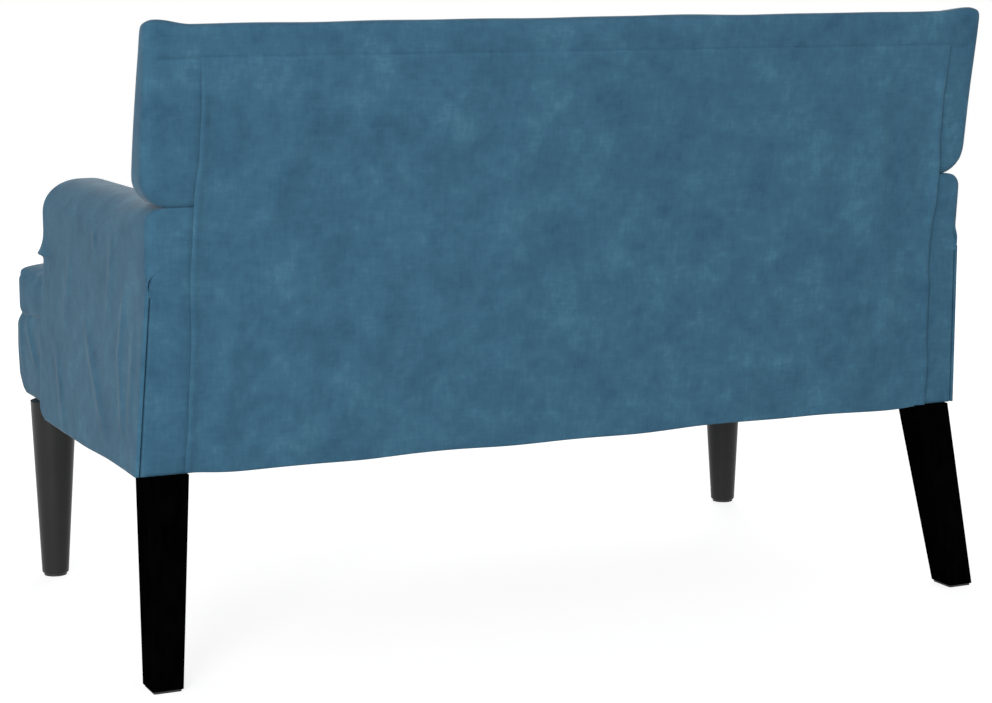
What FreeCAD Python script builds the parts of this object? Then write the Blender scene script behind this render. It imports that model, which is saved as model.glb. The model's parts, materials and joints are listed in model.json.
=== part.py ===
import FreeCAD, Part
import math
import os
from FreeCAD import Vector

# An upholstered two-seat bench with low arms and a T-shaped back, on four tapered legs.
# Millimetres. +X is the sitter's left, +Y the rear and +Z up. The origin is on the floor,
# under the middle of the bench.

# Whole bench
BENCH_DEPTH = 675.0
BENCH_HEIGHT = 760.0
BASE_WIDTH = 1125.0
UNDERSIDE_HEIGHT = 240.0
CLOTH = 2.0
SOFT_GAP = 0.3
OVERRUN = 40.0

# Rear line, which the back and the rear ends of the arms follow
REAR_SETBACK = 53.0
BEND_DROP = 2.0
LOWER_RAKE_DEGREES = 4.4
UPPER_RAKE_DEGREES = 8.0
REAR_STEP = 4.0

# Seat frame
RAIL_THICKNESS = 25.0
RAIL_HEIGHT = 90.0
FRAME_LIFT = 4.0
STRETCHER_THICKNESS = 25.0
STRETCHER_HEIGHT = 50.0
CORNER_BLOCK_LEG = 70.0
CORNER_BLOCK_HEIGHT = 60.0
DUST_COVER_THICKNESS = 1.0
DUST_COVER_MARGIN = 5.0

# Sinuous springs, their clips and the felt on them
SPRING_COUNT = 8
SPRING_SIDE_INSET = 86.0
SPRING_WIRE = 3.8
SPRING_WIDTH = 52.0
SPRING_PITCH = 22.0
CLIP_LENGTH = 16.0
CLIP_WALL = 3.0
CLIP_BASE = 1.5
CLIP_COVER = 1.0
FELT_THICKNESS = 5.0

# Seat cushion and the padded apron under it
SEAT_HEIGHT = 430.0
SEAT_EDGE_HEIGHT = 407.0
CREASE_HEIGHT = 353.0
SEAT_OVERHANG_SETBACK = 18.0
EAR_INSET = 17.5
EAR_PAD = 6.0
EAR_BULGE = 4.0
EAR_CROWN_HEIGHT = 421.0
EAR_CROWN_REACH = 34.0
APRON_PAD = 5.0
APRON_BULGE = 20.0
APRON_CORNER_RADIUS = 22.0
SEAT_CORNER_RADIUS = 26.0
SEAT_EDGE_DRAW = 13.0
SEAT_CROWN_REACH = 120.0
SEAT_SIDE_SHARES = ((0.0, 0.3), (0.3, 0.05), (0.62, 0.0), (0.86, 0.3), (1.0, 1.0))
SEAT_CROWN_SHARES = ((0.5, 0.27), (0.85, 0.62), (1.0, 1.0))
SEAT_REAR_DRAW_SHARE = 0.25
APRON_SHARES = ((0.0, 1.0), (0.3, 0.25), (0.6, 0.0), (0.85, 0.4), (1.0, 1.0))

# Arms
ARM_HEIGHT = 555.0
ARM_THICKNESS = 100.0
ARM_FLARE = 12.5
ARM_FRONT_SETBACK = 177.5
ARM_CORNER_RADIUS = 16.0
ARM_FRONT_PAD = 12.0
ARM_SIDE_PAD = 12.0
ARM_TOP_PAD = 20.0
ARM_CAP_DROP = 108.0
ARM_TOP_ROUND = 36.0
LIP_REACH = 30.0
LIP_SIDE = 5.0
LIP_HEIGHT = 50.0
ARM_POST_THICKNESS = 22.0
ARM_BOARD_THICKNESS = 18.0
ARM_PANEL_THICKNESS = 6.0
OUTER_PANEL_THICKNESS = 4.0
OUTER_PANEL_SLIT = 1.5
OUTER_PANEL_MARGIN = 12.0
LIP_SHARES = ((0.0, 1.0), (0.25, 0.75), (0.6, 0.18), (1.0, 0.0))
ARM_TOP_SHARES = ((0.55, 0.1), (0.84, 0.42), (1.0, 1.0))

# Back frame, padding and cover
STILE_WIDTH = 26.0
STILE_GAP = 2.0
BACK_FRAME_THICKNESS = 25.0
BACK_TOP_RAIL_SHARE = 0.4
BACK_TOP_PAD = 23.0
BACK_MIDDLE_RAIL_HEIGHT = 35.0
WING_INSET = 6.5
WING_GAP = 1.0
WING_SIDE_PAD = 24.0
WING_UNDER_PAD = 13.0
WING_POST_WIDTH = 25.0
WING_RAIL_SHARE = 0.3
WING_THICKNESS = 96.0
WING_ROUND = 34.0
WING_CORNER_RADIUS = 42.0
WING_SHARES = ((0.0, 0.42), (0.04, 0.18), (0.12, 0.03), (0.3, 0.0), (0.5, 0.04), (0.74, 0.24), (0.91, 0.58),
               (1.0, 1.0))
TUFTING_BOARD_THICKNESS = 6.0
PAD_THICKNESS = 119.0
PAD_ROUND = 46.0
PAD_CORNER_RADIUS = 26.0
PAD_TOP_SETBACK = 6.0
PAD_LIFT = 4.0
PAD_SIDE_GAP = 1.0
PAD_SHARES = ((0.0, 0.06), (0.3, 0.02), (0.55, 0.0), (0.75, 0.1), (0.88, 0.32), (0.96, 0.64), (1.0, 1.0))

# Sewn tufts on the front of the back
TUFT_COUNTS = (6, 5, 6)
TUFT_SIDE_INSET = 74.0
TUFT_TOP_DROP = 105.0
TUFT_FOOT_RISE = 65.0
TUFT_DEPTH = 30.0
TUFT_MOUTH_RADIUS = 46.0
BUTTON_RADIUS = 12.0
BUTTON_THICKNESS = 7.0
BUTTON_ROUND = 4.0
BUTTON_CLEARANCE = 1.0
CORD_RADIUS = 1.0
CORD_CLEARANCE = 0.3
ANCHOR_RADIUS = 9.0
ANCHOR_THICKNESS = 1.5

# Loose rear panel and the strips that hold it
FLAP_TOP_DROP = 47.0
FLAP_TOP_INSET = 68.5
FLAP_FOOT_INSET = 54.5
FLAP_FOLD_RISE = 3.0
STRIP_WIDTH = 20.0
STRIP_INSET = 6.0
FLAP_FOLD_SHARES = ((0.06, 0.5), (0.13, 1.0), (0.27, 0.6), (0.45, 0.35), (0.64, 0.5), (0.8, 0.8), (0.93, 1.0),
                    (1.0, 0.6))

# Legs
FRONT_LEG_SETBACK = 94.6
FRONT_LEG_SPLAY = 4.3
FRONT_LEG_TOP_RADIUS = 30.5
FRONT_LEG_FOOT_RADIUS = 17.7
REAR_LEG_TOP_WIDTH = 51.0
REAR_LEG_TOP_DEPTH = 46.5
REAR_LEG_FOOT_WIDTH = 37.0
REAR_LEG_FOOT_DEPTH = 41.5
REAR_LEG_OFFSET = 7.0
REAR_LEG_SPLAY = 20.0
LEG_EDGE_RADIUS = 2.5
GLIDE_THICKNESS = 3.0
GLIDE_INSET = 2.0
LEG_PLATE_LENGTH = 60.0
LEG_PLATE_MARGIN = 2.0

# Fasteners
BOLT_RADIUS = 4.0
BOLT_CLEARANCE = 0.5
BOLT_HEAD_RADIUS = 7.0
BOLT_HEAD_HEIGHT = 4.4
BOLT_SOCKET_RADIUS = 2.9
BOLT_SOCKET_DEPTH = 2.4
BOLT_TIP_SETBACK = 1.0
WASHER_RADIUS = 10.0
WASHER_THICKNESS = 1.6
T_NUT_FLANGE_RADIUS = 11.0
T_NUT_FLANGE_THICKNESS = 1.5
T_NUT_BARREL_RADIUS = 5.2
T_NUT_BARREL_LENGTH = 9.0
ARM_BOLT_SHARES = (0.17, 0.55, 0.93)
BACK_BOLT_SHARES = (-0.7, -0.25, 0.25, 0.7)
COUNTERBORE_DEPTH = 8.0
LEG_BOLT_REACH = 40.0
INSERT_NUT_RADIUS = 6.0
INSERT_NUT_LENGTH = 20.0
DOWEL_RADIUS = 4.0
DOWEL_LENGTH = 40.0
DOWEL_HEIGHT_SHARES = (0.28, 0.72)
DOWEL_DEPTH_SHARE = 0.4
ROUND_LIMIT_SHARE = 0.48

# Planes and lines that several pieces share
HALF_WIDTH = BASE_WIDTH / 2
BEND_HEIGHT = ARM_HEIGHT - BEND_DROP
FRONT_Y = -BENCH_DEPTH / 2
REAR_Y = BENCH_DEPTH / 2
FRAME_BOTTOM = UNDERSIDE_HEIGHT + FRAME_LIFT
FRAME_TOP = FRAME_BOTTOM + RAIL_HEIGHT
RAIL_MIDDLE = (FRAME_BOTTOM + FRAME_TOP) / 2
ARM_FRONT_Y = FRONT_Y + ARM_FRONT_SETBACK
EAR_HALF = HALF_WIDTH - EAR_INSET
RAIL_OUTER = EAR_HALF - EAR_BULGE - CLOTH - EAR_PAD
RAIL_INNER = RAIL_OUTER - RAIL_THICKNESS
RAIL_CENTRE = (RAIL_OUTER + RAIL_INNER) / 2
FRONT_RAIL_FRONT = FRONT_Y + APRON_BULGE + CLOTH + APRON_PAD
FRONT_RAIL_REAR = FRONT_RAIL_FRONT + RAIL_THICKNESS
FRAME_NEAR = REAR_STEP + CLOTH
FRAME_FAR = FRAME_NEAR + BACK_FRAME_THICKNESS
FRAME_MIDDLE = (FRAME_NEAR + FRAME_FAR) / 2
REAR_RAIL_FAR = FRAME_FAR + RAIL_THICKNESS
BOARD_FAR = FRAME_FAR + TUFTING_BOARD_THICKNESS
SPRING_BAR_HEIGHT = FRAME_TOP + CLIP_BASE + SPRING_WIRE / 2
FELT_BOTTOM = SPRING_BAR_HEIGHT + SPRING_WIRE / 2 + CLIP_COVER
FELT_TOP = FELT_BOTTOM + FELT_THICKNESS
SEAT_BOTTOM = FELT_TOP + SOFT_GAP
ARM_OUTER_TOP = HALF_WIDTH - ARM_FLARE
ARM_INNER = ARM_OUTER_TOP - ARM_THICKNESS
SPRING_SPACING = 2 * (ARM_INNER - SPRING_SIDE_INSET) / (SPRING_COUNT - 1)
CAP_BOTTOM = ARM_HEIGHT - ARM_CAP_DROP
ARM_FRAME_INNER = ARM_INNER + CLOTH + ARM_SIDE_PAD
ARM_FRAME_FRONT = ARM_FRONT_Y + CLOTH + ARM_FRONT_PAD
ARM_FRAME_TOP = ARM_HEIGHT - CLOTH - ARM_TOP_PAD
ARM_BOARD_BOTTOM = ARM_FRAME_TOP - ARM_BOARD_THICKNESS
ARM_PANEL_OUTER = ARM_FRAME_INNER + ARM_PANEL_THICKNESS
ARM_BOARD_OUTER = ARM_OUTER_TOP - CLOTH - ARM_SIDE_PAD
OUTER_LAYER = CLOTH + OUTER_PANEL_THICKNESS
PAD_HALF = ARM_INNER - PAD_SIDE_GAP
STILE_OUTER = ARM_INNER - STILE_GAP
STILE_INNER = STILE_OUTER - STILE_WIDTH
WING_HALF_WIDTH = HALF_WIDTH - WING_INSET
WING_BOTTOM = ARM_HEIGHT + WING_GAP
WING_FRAME_HALF = WING_HALF_WIDTH - CLOTH - WING_SIDE_PAD
WING_RAIL_BOTTOM = WING_BOTTOM + CLOTH + WING_UNDER_PAD
BACK_FRAME_TOP = BENCH_HEIGHT - CLOTH - BACK_TOP_PAD
WING_FRAME_HEIGHT = BACK_FRAME_TOP - WING_RAIL_BOTTOM
WING_RAIL_TOP = WING_RAIL_BOTTOM + WING_FRAME_HEIGHT * WING_RAIL_SHARE
BACK_TOP_RAIL_HEIGHT = WING_FRAME_HEIGHT * BACK_TOP_RAIL_SHARE
TOP_RAIL_BOTTOM = BACK_FRAME_TOP - BACK_TOP_RAIL_HEIGHT
MIDDLE_RAIL_TOP = BEND_HEIGHT - SOFT_GAP
TUFT_COLUMN_STEP = 2 * (PAD_HALF - TUFT_SIDE_INSET) / (max(TUFT_COUNTS) - 1)
TUFT_TOP = BENCH_HEIGHT - TUFT_TOP_DROP
TUFT_ROW_STEP = (TUFT_TOP - SEAT_HEIGHT - TUFT_FOOT_RISE) / (len(TUFT_COUNTS) - 1)
FLAP_TOP = BENCH_HEIGHT - FLAP_TOP_DROP
FLAP_TOP_HALF_WIDTH = HALF_WIDTH - FLAP_TOP_INSET
FLAP_FOOT_HALF_WIDTH = HALF_WIDTH - FLAP_FOOT_INSET
FRONT_LEG_Y = FRONT_Y + FRONT_LEG_SETBACK


# Helpers

def rear_y(height):
    """Y of the rear line at a height."""
    lower = math.tan(math.radians(LOWER_RAKE_DEGREES))
    upper = math.tan(math.radians(UPPER_RAKE_DEGREES))
    start = REAR_Y - REAR_SETBACK
    below = min(height, BEND_HEIGHT) - UNDERSIDE_HEIGHT
    above = max(height - BEND_HEIGHT, 0)
    return start + below * lower + above * upper


def rear_point(x, depth, height):
    """Point that lies depth in front of the rear line."""
    return Vector(x, rear_y(height) - depth, height)


def rear_axis():
    """Unit vector that points forwards, square to the lower rear line."""
    rake = math.radians(LOWER_RAKE_DEGREES)
    return Vector(0, -math.cos(rake), math.sin(rake))


def outer_x(height):
    """X of the arm's outer face, which leans out from the cap down to the underside."""
    drop = max(CAP_BOTTOM - height, 0) / (CAP_BOTTOM - UNDERSIDE_HEIGHT)
    return ARM_OUTER_TOP + ARM_FLARE * drop


def box(x0, x1, y0, y1, z0, z1):
    return Part.makeBox(x1 - x0, y1 - y0, z1 - z0, Vector(x0, y0, z0))


def prism(points, along):
    """Solid swept straight from a closed outline."""
    return Part.Face(Part.makePolygon(points + points[:1])).extrude(along)


def rear_slab(x0, x1, near, far, z0, z1):
    """Board between two depths in front of the rear line, bent where that line bends."""
    heights = [z0] + [BEND_HEIGHT] * (z0 < BEND_HEIGHT < z1) + [z1]
    rear = [rear_point(x0, near, z) for z in heights]
    front = [rear_point(x0, far, z) for z in reversed(heights)]
    return prism(rear + front, Vector(x1 - x0, 0, 0))


def ahead_of(shape, depth):
    """Shape without what lies less than depth in front of the rear line."""
    return shape.cut(rear_slab(-BASE_WIDTH, BASE_WIDTH, -BENCH_DEPTH, depth, 0, BENCH_HEIGHT))


def mirrored(shape):
    return shape.mirror(Vector(0, 0, 0), Vector(1, 0, 0))


def both_sides(shapes):
    return shapes + [mirrored(shape) for shape in shapes]


def group(shapes):
    return Part.makeCompound(shapes)


def aimed(shape, at, axis):
    """Shape modelled along +Z from the origin, moved to run along an axis from a point."""
    placed = shape.copy()
    placed.Placement = FreeCAD.Placement(at, FreeCAD.Rotation(Vector(0, 0, 1), axis))
    return placed


def rounded_loop(low, high, radius, point):
    """Rectangle with arc corners, drawn in the plane that point(a, b) maps to."""
    (a0, b0), (a1, b1) = low, high
    radius = min(radius, ROUND_LIMIT_SHARE * min(a1 - a0, b1 - b0))
    tuck = radius * (1 - math.sqrt(0.5))
    corners = (
        ((a1 - radius, b0), (a1 - tuck, b0 + tuck), (a1, b0 + radius)),
        ((a1, b1 - radius), (a1 - tuck, b1 - tuck), (a1 - radius, b1)),
        ((a0 + radius, b1), (a0 + tuck, b1 - tuck), (a0, b1 - radius)),
        ((a0, b0 + radius), (a0 + tuck, b0 + tuck), (a0 + radius, b0)),
    )
    edges = []
    last = corners[-1][-1]
    for start, middle, end in corners:
        edges.append(Part.LineSegment(point(*last), point(*start)).toShape())
        edges.append(Part.Arc(point(*start), point(*middle), point(*end)).toShape())
        last = end
    return Part.Wire(edges)


def lofted(loops, ruled=False):
    """Solid through closed loops, turned right side out."""
    solid = Part.makeLoft(loops, True, ruled)
    if solid.Volume < 0:
        solid.reverse()
    return solid


def level_loop(x0, x1, y0, y1, z, radius):
    return rounded_loop((x0, y0), (x1, y1), radius, lambda a, b: Vector(a, b, z))


def upright_loop(half, z0, z1, depth, radius, start):
    """Outline in a plane that leans with the rear line between a start height and the top."""
    foot = rear_y(start)
    lean = (rear_y(BENCH_HEIGHT) - foot) / (BENCH_HEIGHT - start)
    return rounded_loop((-half, z0), (half, z1), radius,
                        lambda a, b: Vector(a, foot + (b - start) * lean - depth, b))


# Seat frame

def side_rail():
    """Left rail of the seat frame, from the front rail to the raked rear rail."""
    outline = [
        Vector(RAIL_INNER, FRONT_RAIL_REAR, FRAME_BOTTOM),
        rear_point(RAIL_INNER, REAR_RAIL_FAR, FRAME_BOTTOM),
        rear_point(RAIL_INNER, REAR_RAIL_FAR, FRAME_TOP),
        Vector(RAIL_INNER, FRONT_RAIL_REAR, FRAME_TOP),
    ]
    return prism(outline, Vector(RAIL_THICKNESS, 0, 0))


def front_rail():
    return box(-RAIL_OUTER, RAIL_OUTER, FRONT_RAIL_FRONT, FRONT_RAIL_REAR, FRAME_BOTTOM, FRAME_TOP)


def rear_rail():
    return rear_slab(-RAIL_OUTER, RAIL_OUTER, FRAME_FAR, REAR_RAIL_FAR, FRAME_BOTTOM, FRAME_TOP)


def centre_stretcher():
    half = STRETCHER_THICKNESS / 2
    top = FRAME_BOTTOM + STRETCHER_HEIGHT
    return ahead_of(box(-half, half, FRONT_RAIL_REAR, REAR_Y, FRAME_BOTTOM, top), REAR_RAIL_FAR)


def corner_blocks():
    """Four glued triangular blocks in the corners of the seat frame."""
    bottom = RAIL_MIDDLE - CORNER_BLOCK_HEIGHT / 2
    up = Vector(0, 0, CORNER_BLOCK_HEIGHT)
    rear = rear_y(RAIL_MIDDLE) - REAR_RAIL_FAR
    front_outline = [
        Vector(RAIL_INNER, FRONT_RAIL_REAR, bottom),
        Vector(RAIL_INNER, FRONT_RAIL_REAR + CORNER_BLOCK_LEG, bottom),
        Vector(RAIL_INNER - CORNER_BLOCK_LEG, FRONT_RAIL_REAR, bottom),
    ]
    rear_outline = [
        Vector(RAIL_INNER, rear - CORNER_BLOCK_LEG, bottom),
        Vector(RAIL_INNER, rear + OVERRUN, bottom),
        Vector(RAIL_INNER - CORNER_BLOCK_LEG - OVERRUN, rear + OVERRUN, bottom),
    ]
    rear_block = ahead_of(prism(rear_outline, up), REAR_RAIL_FAR)
    return group(both_sides([prism(front_outline, up), rear_block]))


def rear_leg_block():
    """Left block behind the end of the rear rail, which carries a rear leg."""
    return rear_slab(ARM_INNER, RAIL_OUTER, FRAME_NEAR, FRAME_FAR, FRAME_BOTTOM, FRAME_TOP)


def dust_cover():
    """Thin black underside cloth, cut out round the four leg plates."""
    half = RAIL_OUTER - DUST_COVER_MARGIN
    bottom = FRAME_BOTTOM - DUST_COVER_THICKNESS
    front = FRONT_RAIL_FRONT + DUST_COVER_MARGIN
    sheet = ahead_of(box(-half, half, front, REAR_Y, bottom, FRAME_BOTTOM), FRAME_NEAR + DUST_COVER_MARGIN)
    holes = [leg_plate_blank(place, LEG_PLATE_MARGIN) for place in leg_plate_places()]
    return sheet.cut(both_sides(holes))


# Springs under the seat

def spring_length():
    """Distance between the first and last bars, a whole number of pitches."""
    start = (FRONT_RAIL_FRONT + FRONT_RAIL_REAR) / 2
    end = rear_y(FRAME_TOP) - (FRAME_FAR + REAR_RAIL_FAR) / 2
    pitches = math.floor((end - start) / SPRING_PITCH)
    return start, end, pitches


def sinuous_spring(x):
    """One flat zigzag of wire that runs from the front rail to the rear rail."""
    start, end, pitches = spring_length()
    step = (end - start) / pitches
    bend = step / 2
    reach = SPRING_WIDTH / 2 - bend
    edges = []
    side = -1
    for bar in range(pitches + 1):
        y = start + bar * step
        near = Vector(x + side * reach, y, SPRING_BAR_HEIGHT)
        far = Vector(x - side * reach, y, SPRING_BAR_HEIGHT)
        edges.append(Part.LineSegment(near, far).toShape())
        if bar < pitches:
            edges += half_turn(far, bend, -side)
        side = -side
    circle = Part.makeCircle(SPRING_WIRE / 2, edges[0].Vertexes[0].Point, Vector(1, 0, 0))
    return Part.Wire(edges).makePipeShell([Part.Wire(circle)], True, False)


def half_turn(start, bend, side):
    """Two quarter arcs that carry the spring wire on to its next bar."""
    tuck = bend * math.sqrt(0.5)
    crown = start + Vector(side * bend, bend, 0)
    end = start + Vector(0, bend + bend, 0)
    first = start + Vector(side * tuck, bend - tuck, 0)
    second = start + Vector(side * tuck, bend + tuck, 0)
    return [Part.Arc(start, first, crown).toShape(), Part.Arc(crown, second, end).toShape()]


def spring_places():
    middle = (SPRING_COUNT - 1) / 2
    return [(index - middle) * SPRING_SPACING for index in range(SPRING_COUNT)]


def spring_clips():
    """Clips on the front and rear rails, bored for the end bars of the springs."""
    start, end = spring_length()[:2]
    half = SPRING_WIRE / 2 + CLIP_WALL
    bore = Part.makeCylinder(SPRING_WIRE / 2, CLIP_LENGTH)
    clips = []
    for x in spring_places():
        for y in (start, end):
            left = x - CLIP_LENGTH / 2
            body = box(left, left + CLIP_LENGTH, y - half, y + half, FRAME_TOP, FELT_BOTTOM)
            bar = aimed(bore, Vector(left, y, SPRING_BAR_HEIGHT), Vector(1, 0, 0))
            clips.append(body.cut(bar))
    return group(clips)


def spring_felt():
    """Felt over the springs, clear of the arms and of the back."""
    front = box(-RAIL_OUTER, RAIL_OUTER, FRONT_RAIL_FRONT, ARM_FRONT_Y - SOFT_GAP, FELT_BOTTOM, FELT_TOP)
    rear = box(-PAD_HALF, PAD_HALF, FRONT_RAIL_FRONT, REAR_Y, FELT_BOTTOM, FELT_TOP)
    return ahead_of(front.fuse(rear).removeSplitter(), BOARD_FAR + SOFT_GAP)


# Seat cushion and apron

def seat_rear():
    """Y of the rear edge of the seat cushion, just in front of the back pad."""
    return rear_y(SEAT_BOTTOM) - PAD_THICKNESS - SOFT_GAP


def cushion(x_half, y0, y1, skin, crown, reach):
    """Crowned cushion with drawn-in sides; skin is how far it lies inside the cover."""
    rise = SEAT_EDGE_HEIGHT - CREASE_HEIGHT
    levels = [(SEAT_BOTTOM, SEAT_EDGE_DRAW * SEAT_SIDE_SHARES[0][1])]
    levels += [(CREASE_HEIGHT + rise * up, SEAT_EDGE_DRAW * draw) for up, draw in SEAT_SIDE_SHARES]
    lift = crown - SEAT_EDGE_HEIGHT
    for up, draw in SEAT_CROWN_SHARES:
        levels.append((SEAT_EDGE_HEIGHT + lift * up, SEAT_EDGE_DRAW + reach * draw))
    loops = []
    for height, draw in levels:
        sunk = height - skin * (height > CREASE_HEIGHT)
        inset = draw + skin
        loops.append(level_loop(
            -x_half + inset, x_half - inset, y0 + inset, y1 - draw * SEAT_REAR_DRAW_SHARE - skin, sunk,
            SEAT_CORNER_RADIUS))
    return lofted(loops)


def seat_form(skin):
    """T-shaped cushion: a bar in front of the arms and a block between them."""
    front = FRONT_Y + SEAT_OVERHANG_SETBACK
    bar = cushion(EAR_HALF, front, ARM_FRONT_Y - SOFT_GAP, skin, EAR_CROWN_HEIGHT, EAR_CROWN_REACH)
    middle = (front + ARM_FRONT_Y) / 2
    block = cushion(PAD_HALF, middle, seat_rear(), skin, SEAT_HEIGHT, SEAT_CROWN_REACH)
    return bar.fuse(block)


def seat_foam():
    return seat_form(CLOTH)


def seat_cover():
    below = box(-BASE_WIDTH, BASE_WIDTH, -BENCH_DEPTH, BENCH_DEPTH, 0, CREASE_HEIGHT)
    return seat_form(0).cut(seat_foam()).cut(below)


def apron_form(skin, top):
    """Padded box below the cushion, fullest a little above the middle of its height."""
    rise = CREASE_HEIGHT - UNDERSIDE_HEIGHT
    loops = []
    for up, draw in APRON_SHARES:
        height = UNDERSIDE_HEIGHT + rise * up + skin * (up == 0)
        loops.append(apron_loop(draw, skin, height))
    if top > CREASE_HEIGHT:
        loops.append(apron_loop(APRON_SHARES[-1][1], skin, top))
    return lofted(loops)


def apron_loop(draw, skin, height):
    half = EAR_HALF - EAR_BULGE * draw - skin
    front = FRONT_Y + APRON_BULGE * draw + skin
    rear = ARM_FRONT_Y - SOFT_GAP - skin
    return level_loop(-half, half, front, rear, height, APRON_CORNER_RADIUS)


def apron_core():
    """Space of the seat frame, which the apron wraps on three sides."""
    return box(-RAIL_OUTER, RAIL_OUTER, FRONT_RAIL_FRONT, REAR_Y, 0, BENCH_HEIGHT)


def apron_pad():
    above = box(-BASE_WIDTH, BASE_WIDTH, -BENCH_DEPTH, BENCH_DEPTH, FELT_TOP, BENCH_HEIGHT)
    return apron_form(CLOTH, CREASE_HEIGHT + OVERRUN).cut(apron_core()).cut(above)


def apron_cover():
    shell = apron_form(0, CREASE_HEIGHT).cut(apron_form(CLOTH, CREASE_HEIGHT + OVERRUN))
    return shell.cut(apron_core())


# Arms, modelled on the left

def arm_loop(height, skin, front, side, inset):
    """Level outline of an arm; front and side push it out, inset draws it in except at the rear."""
    tuck = inset + skin
    return level_loop(
        ARM_INNER + tuck, outer_x(height) + side - tuck, ARM_FRONT_Y - front + tuck,
        rear_y(height) - REAR_STEP - skin, height, ARM_CORNER_RADIUS)


def arm_form(skin):
    """Arm with a leaning lower body under a rounded cap, whose lower front edge flares to a lip."""
    top_start = CAP_BOTTOM + LIP_HEIGHT
    body = lofted([arm_loop(height, skin, 0, 0, 0) for height in (UNDERSIDE_HEIGHT, CAP_BOTTOM + skin)], True)
    loops = []
    for up, flare in LIP_SHARES:
        height = CAP_BOTTOM + LIP_HEIGHT * up + skin * (up == 0)
        loops.append(arm_loop(height, skin, LIP_REACH * flare, LIP_SIDE * flare, 0))
    rise = ARM_HEIGHT - top_start
    for up, draw in ARM_TOP_SHARES:
        loops.append(arm_loop(top_start + rise * up - skin, skin, 0, 0, ARM_TOP_ROUND * draw))
    return body.fuse(lofted(loops))


def arm_outline(y, inner, low_outer):
    """Cross-section of an arm post: wide above the side rail, narrow beside it."""
    upper = ARM_OUTER_TOP - OUTER_LAYER
    corners = (
        (RAIL_OUTER, FRAME_BOTTOM), (low_outer, FRAME_BOTTOM), (low_outer, FRAME_TOP),
        (upper, CAP_BOTTOM), (upper, ARM_BOARD_BOTTOM), (inner, ARM_BOARD_BOTTOM),
        (inner, FRAME_TOP), (RAIL_OUTER, FRAME_TOP),
    )
    return [Vector(x, y, z) for x, z in corners]


def arm_rail_outer():
    return outer_x(FRAME_TOP) - OUTER_LAYER


def arm_front_post():
    outline = arm_outline(ARM_FRAME_FRONT, ARM_PANEL_OUTER, arm_rail_outer())
    return prism(outline, Vector(0, ARM_POST_THICKNESS, 0))


def arm_rear_post():
    outline = arm_outline(ARM_FRAME_FRONT, ARM_PANEL_OUTER, arm_rail_outer())
    whole = prism(outline, Vector(0, BENCH_DEPTH, 0))
    board = rear_slab(0, BASE_WIDTH, FRAME_NEAR, FRAME_NEAR + ARM_POST_THICKNESS, 0, BENCH_HEIGHT)
    return inside_cover(whole.common(board))


def inside_cover(shape):
    """Frame piece with its corners eased to lie inside the arm's rounded cover."""
    return shape.common(arm_form(CLOTH))


def arm_bottom_rail():
    start = ARM_FRAME_FRONT + ARM_POST_THICKNESS
    whole = box(RAIL_OUTER, arm_rail_outer(), start, REAR_Y, FRAME_BOTTOM, FRAME_TOP)
    return ahead_of(whole, FRAME_NEAR + ARM_POST_THICKNESS)


def arm_top_board():
    whole = box(ARM_FRAME_INNER, ARM_BOARD_OUTER, ARM_FRAME_FRONT, REAR_Y, ARM_BOARD_BOTTOM, ARM_FRAME_TOP)
    return inside_cover(ahead_of(whole, FRAME_NEAR))


def arm_inner_panel():
    whole = box(ARM_FRAME_INNER, ARM_PANEL_OUTER, ARM_FRAME_FRONT, REAR_Y, FRAME_TOP, ARM_BOARD_BOTTOM)
    return inside_cover(ahead_of(whole, FRAME_NEAR))


def arm_frame_space():
    """Space inside the padding that the arm's frame and outer panel take up."""
    corners = [(ARM_FRAME_INNER, 0), (ARM_FRAME_INNER, ARM_FRAME_TOP)]
    corners += [(ARM_BOARD_OUTER, ARM_FRAME_TOP), (ARM_BOARD_OUTER, ARM_BOARD_BOTTOM)]
    corners += [(outer_x(z) - OUTER_LAYER, z) for z in (ARM_BOARD_BOTTOM, CAP_BOTTOM, 0)]
    return prism([Vector(x, ARM_FRAME_FRONT, z) for x, z in corners], Vector(0, BENCH_DEPTH, 0))


def panel_space(near, far, front, rear_depth, top):
    """Leaning slab along the arm's outer face, from near to far inside it."""
    heights = (UNDERSIDE_HEIGHT, top)
    outline = [Vector(outer_x(z) - near, front, z) for z in heights]
    outline += [Vector(outer_x(z) - far, front, z) for z in reversed(heights)]
    return ahead_of(prism(outline, Vector(0, BENCH_DEPTH, 0)), rear_depth)


def panel_opening():
    front = ARM_FRONT_Y + OUTER_PANEL_MARGIN
    return panel_space(-OVERRUN, OUTER_LAYER, front, REAR_STEP + OUTER_PANEL_MARGIN, CAP_BOTTOM)


def outer_panel(near, far):
    front = ARM_FRONT_Y + OUTER_PANEL_MARGIN + OUTER_PANEL_SLIT
    rear = REAR_STEP + OUTER_PANEL_MARGIN + OUTER_PANEL_SLIT
    return panel_space(near, far, front, rear, CAP_BOTTOM - SOFT_GAP)


def seat_side_space():
    """Space beside the seat frame that the arm stands clear of."""
    return box(0, RAIL_OUTER, -BENCH_DEPTH, BENCH_DEPTH, 0, FRAME_TOP)


def arm_foam():
    return arm_form(CLOTH).cut(arm_frame_space()).cut(seat_side_space()).cut(panel_opening())


def arm_cover():
    shell = arm_form(0).cut(arm_form(CLOTH))
    return shell.cut(ahead_of(seat_side_space(), FRAME_NEAR)).cut(panel_opening())


# Back frame

def back_stile():
    return rear_slab(STILE_INNER, STILE_OUTER, FRAME_NEAR, FRAME_FAR, FRAME_BOTTOM, TOP_RAIL_BOTTOM)


def back_rail(half, bottom, top):
    return rear_slab(-half, half, FRAME_NEAR, FRAME_FAR, bottom, top)


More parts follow.
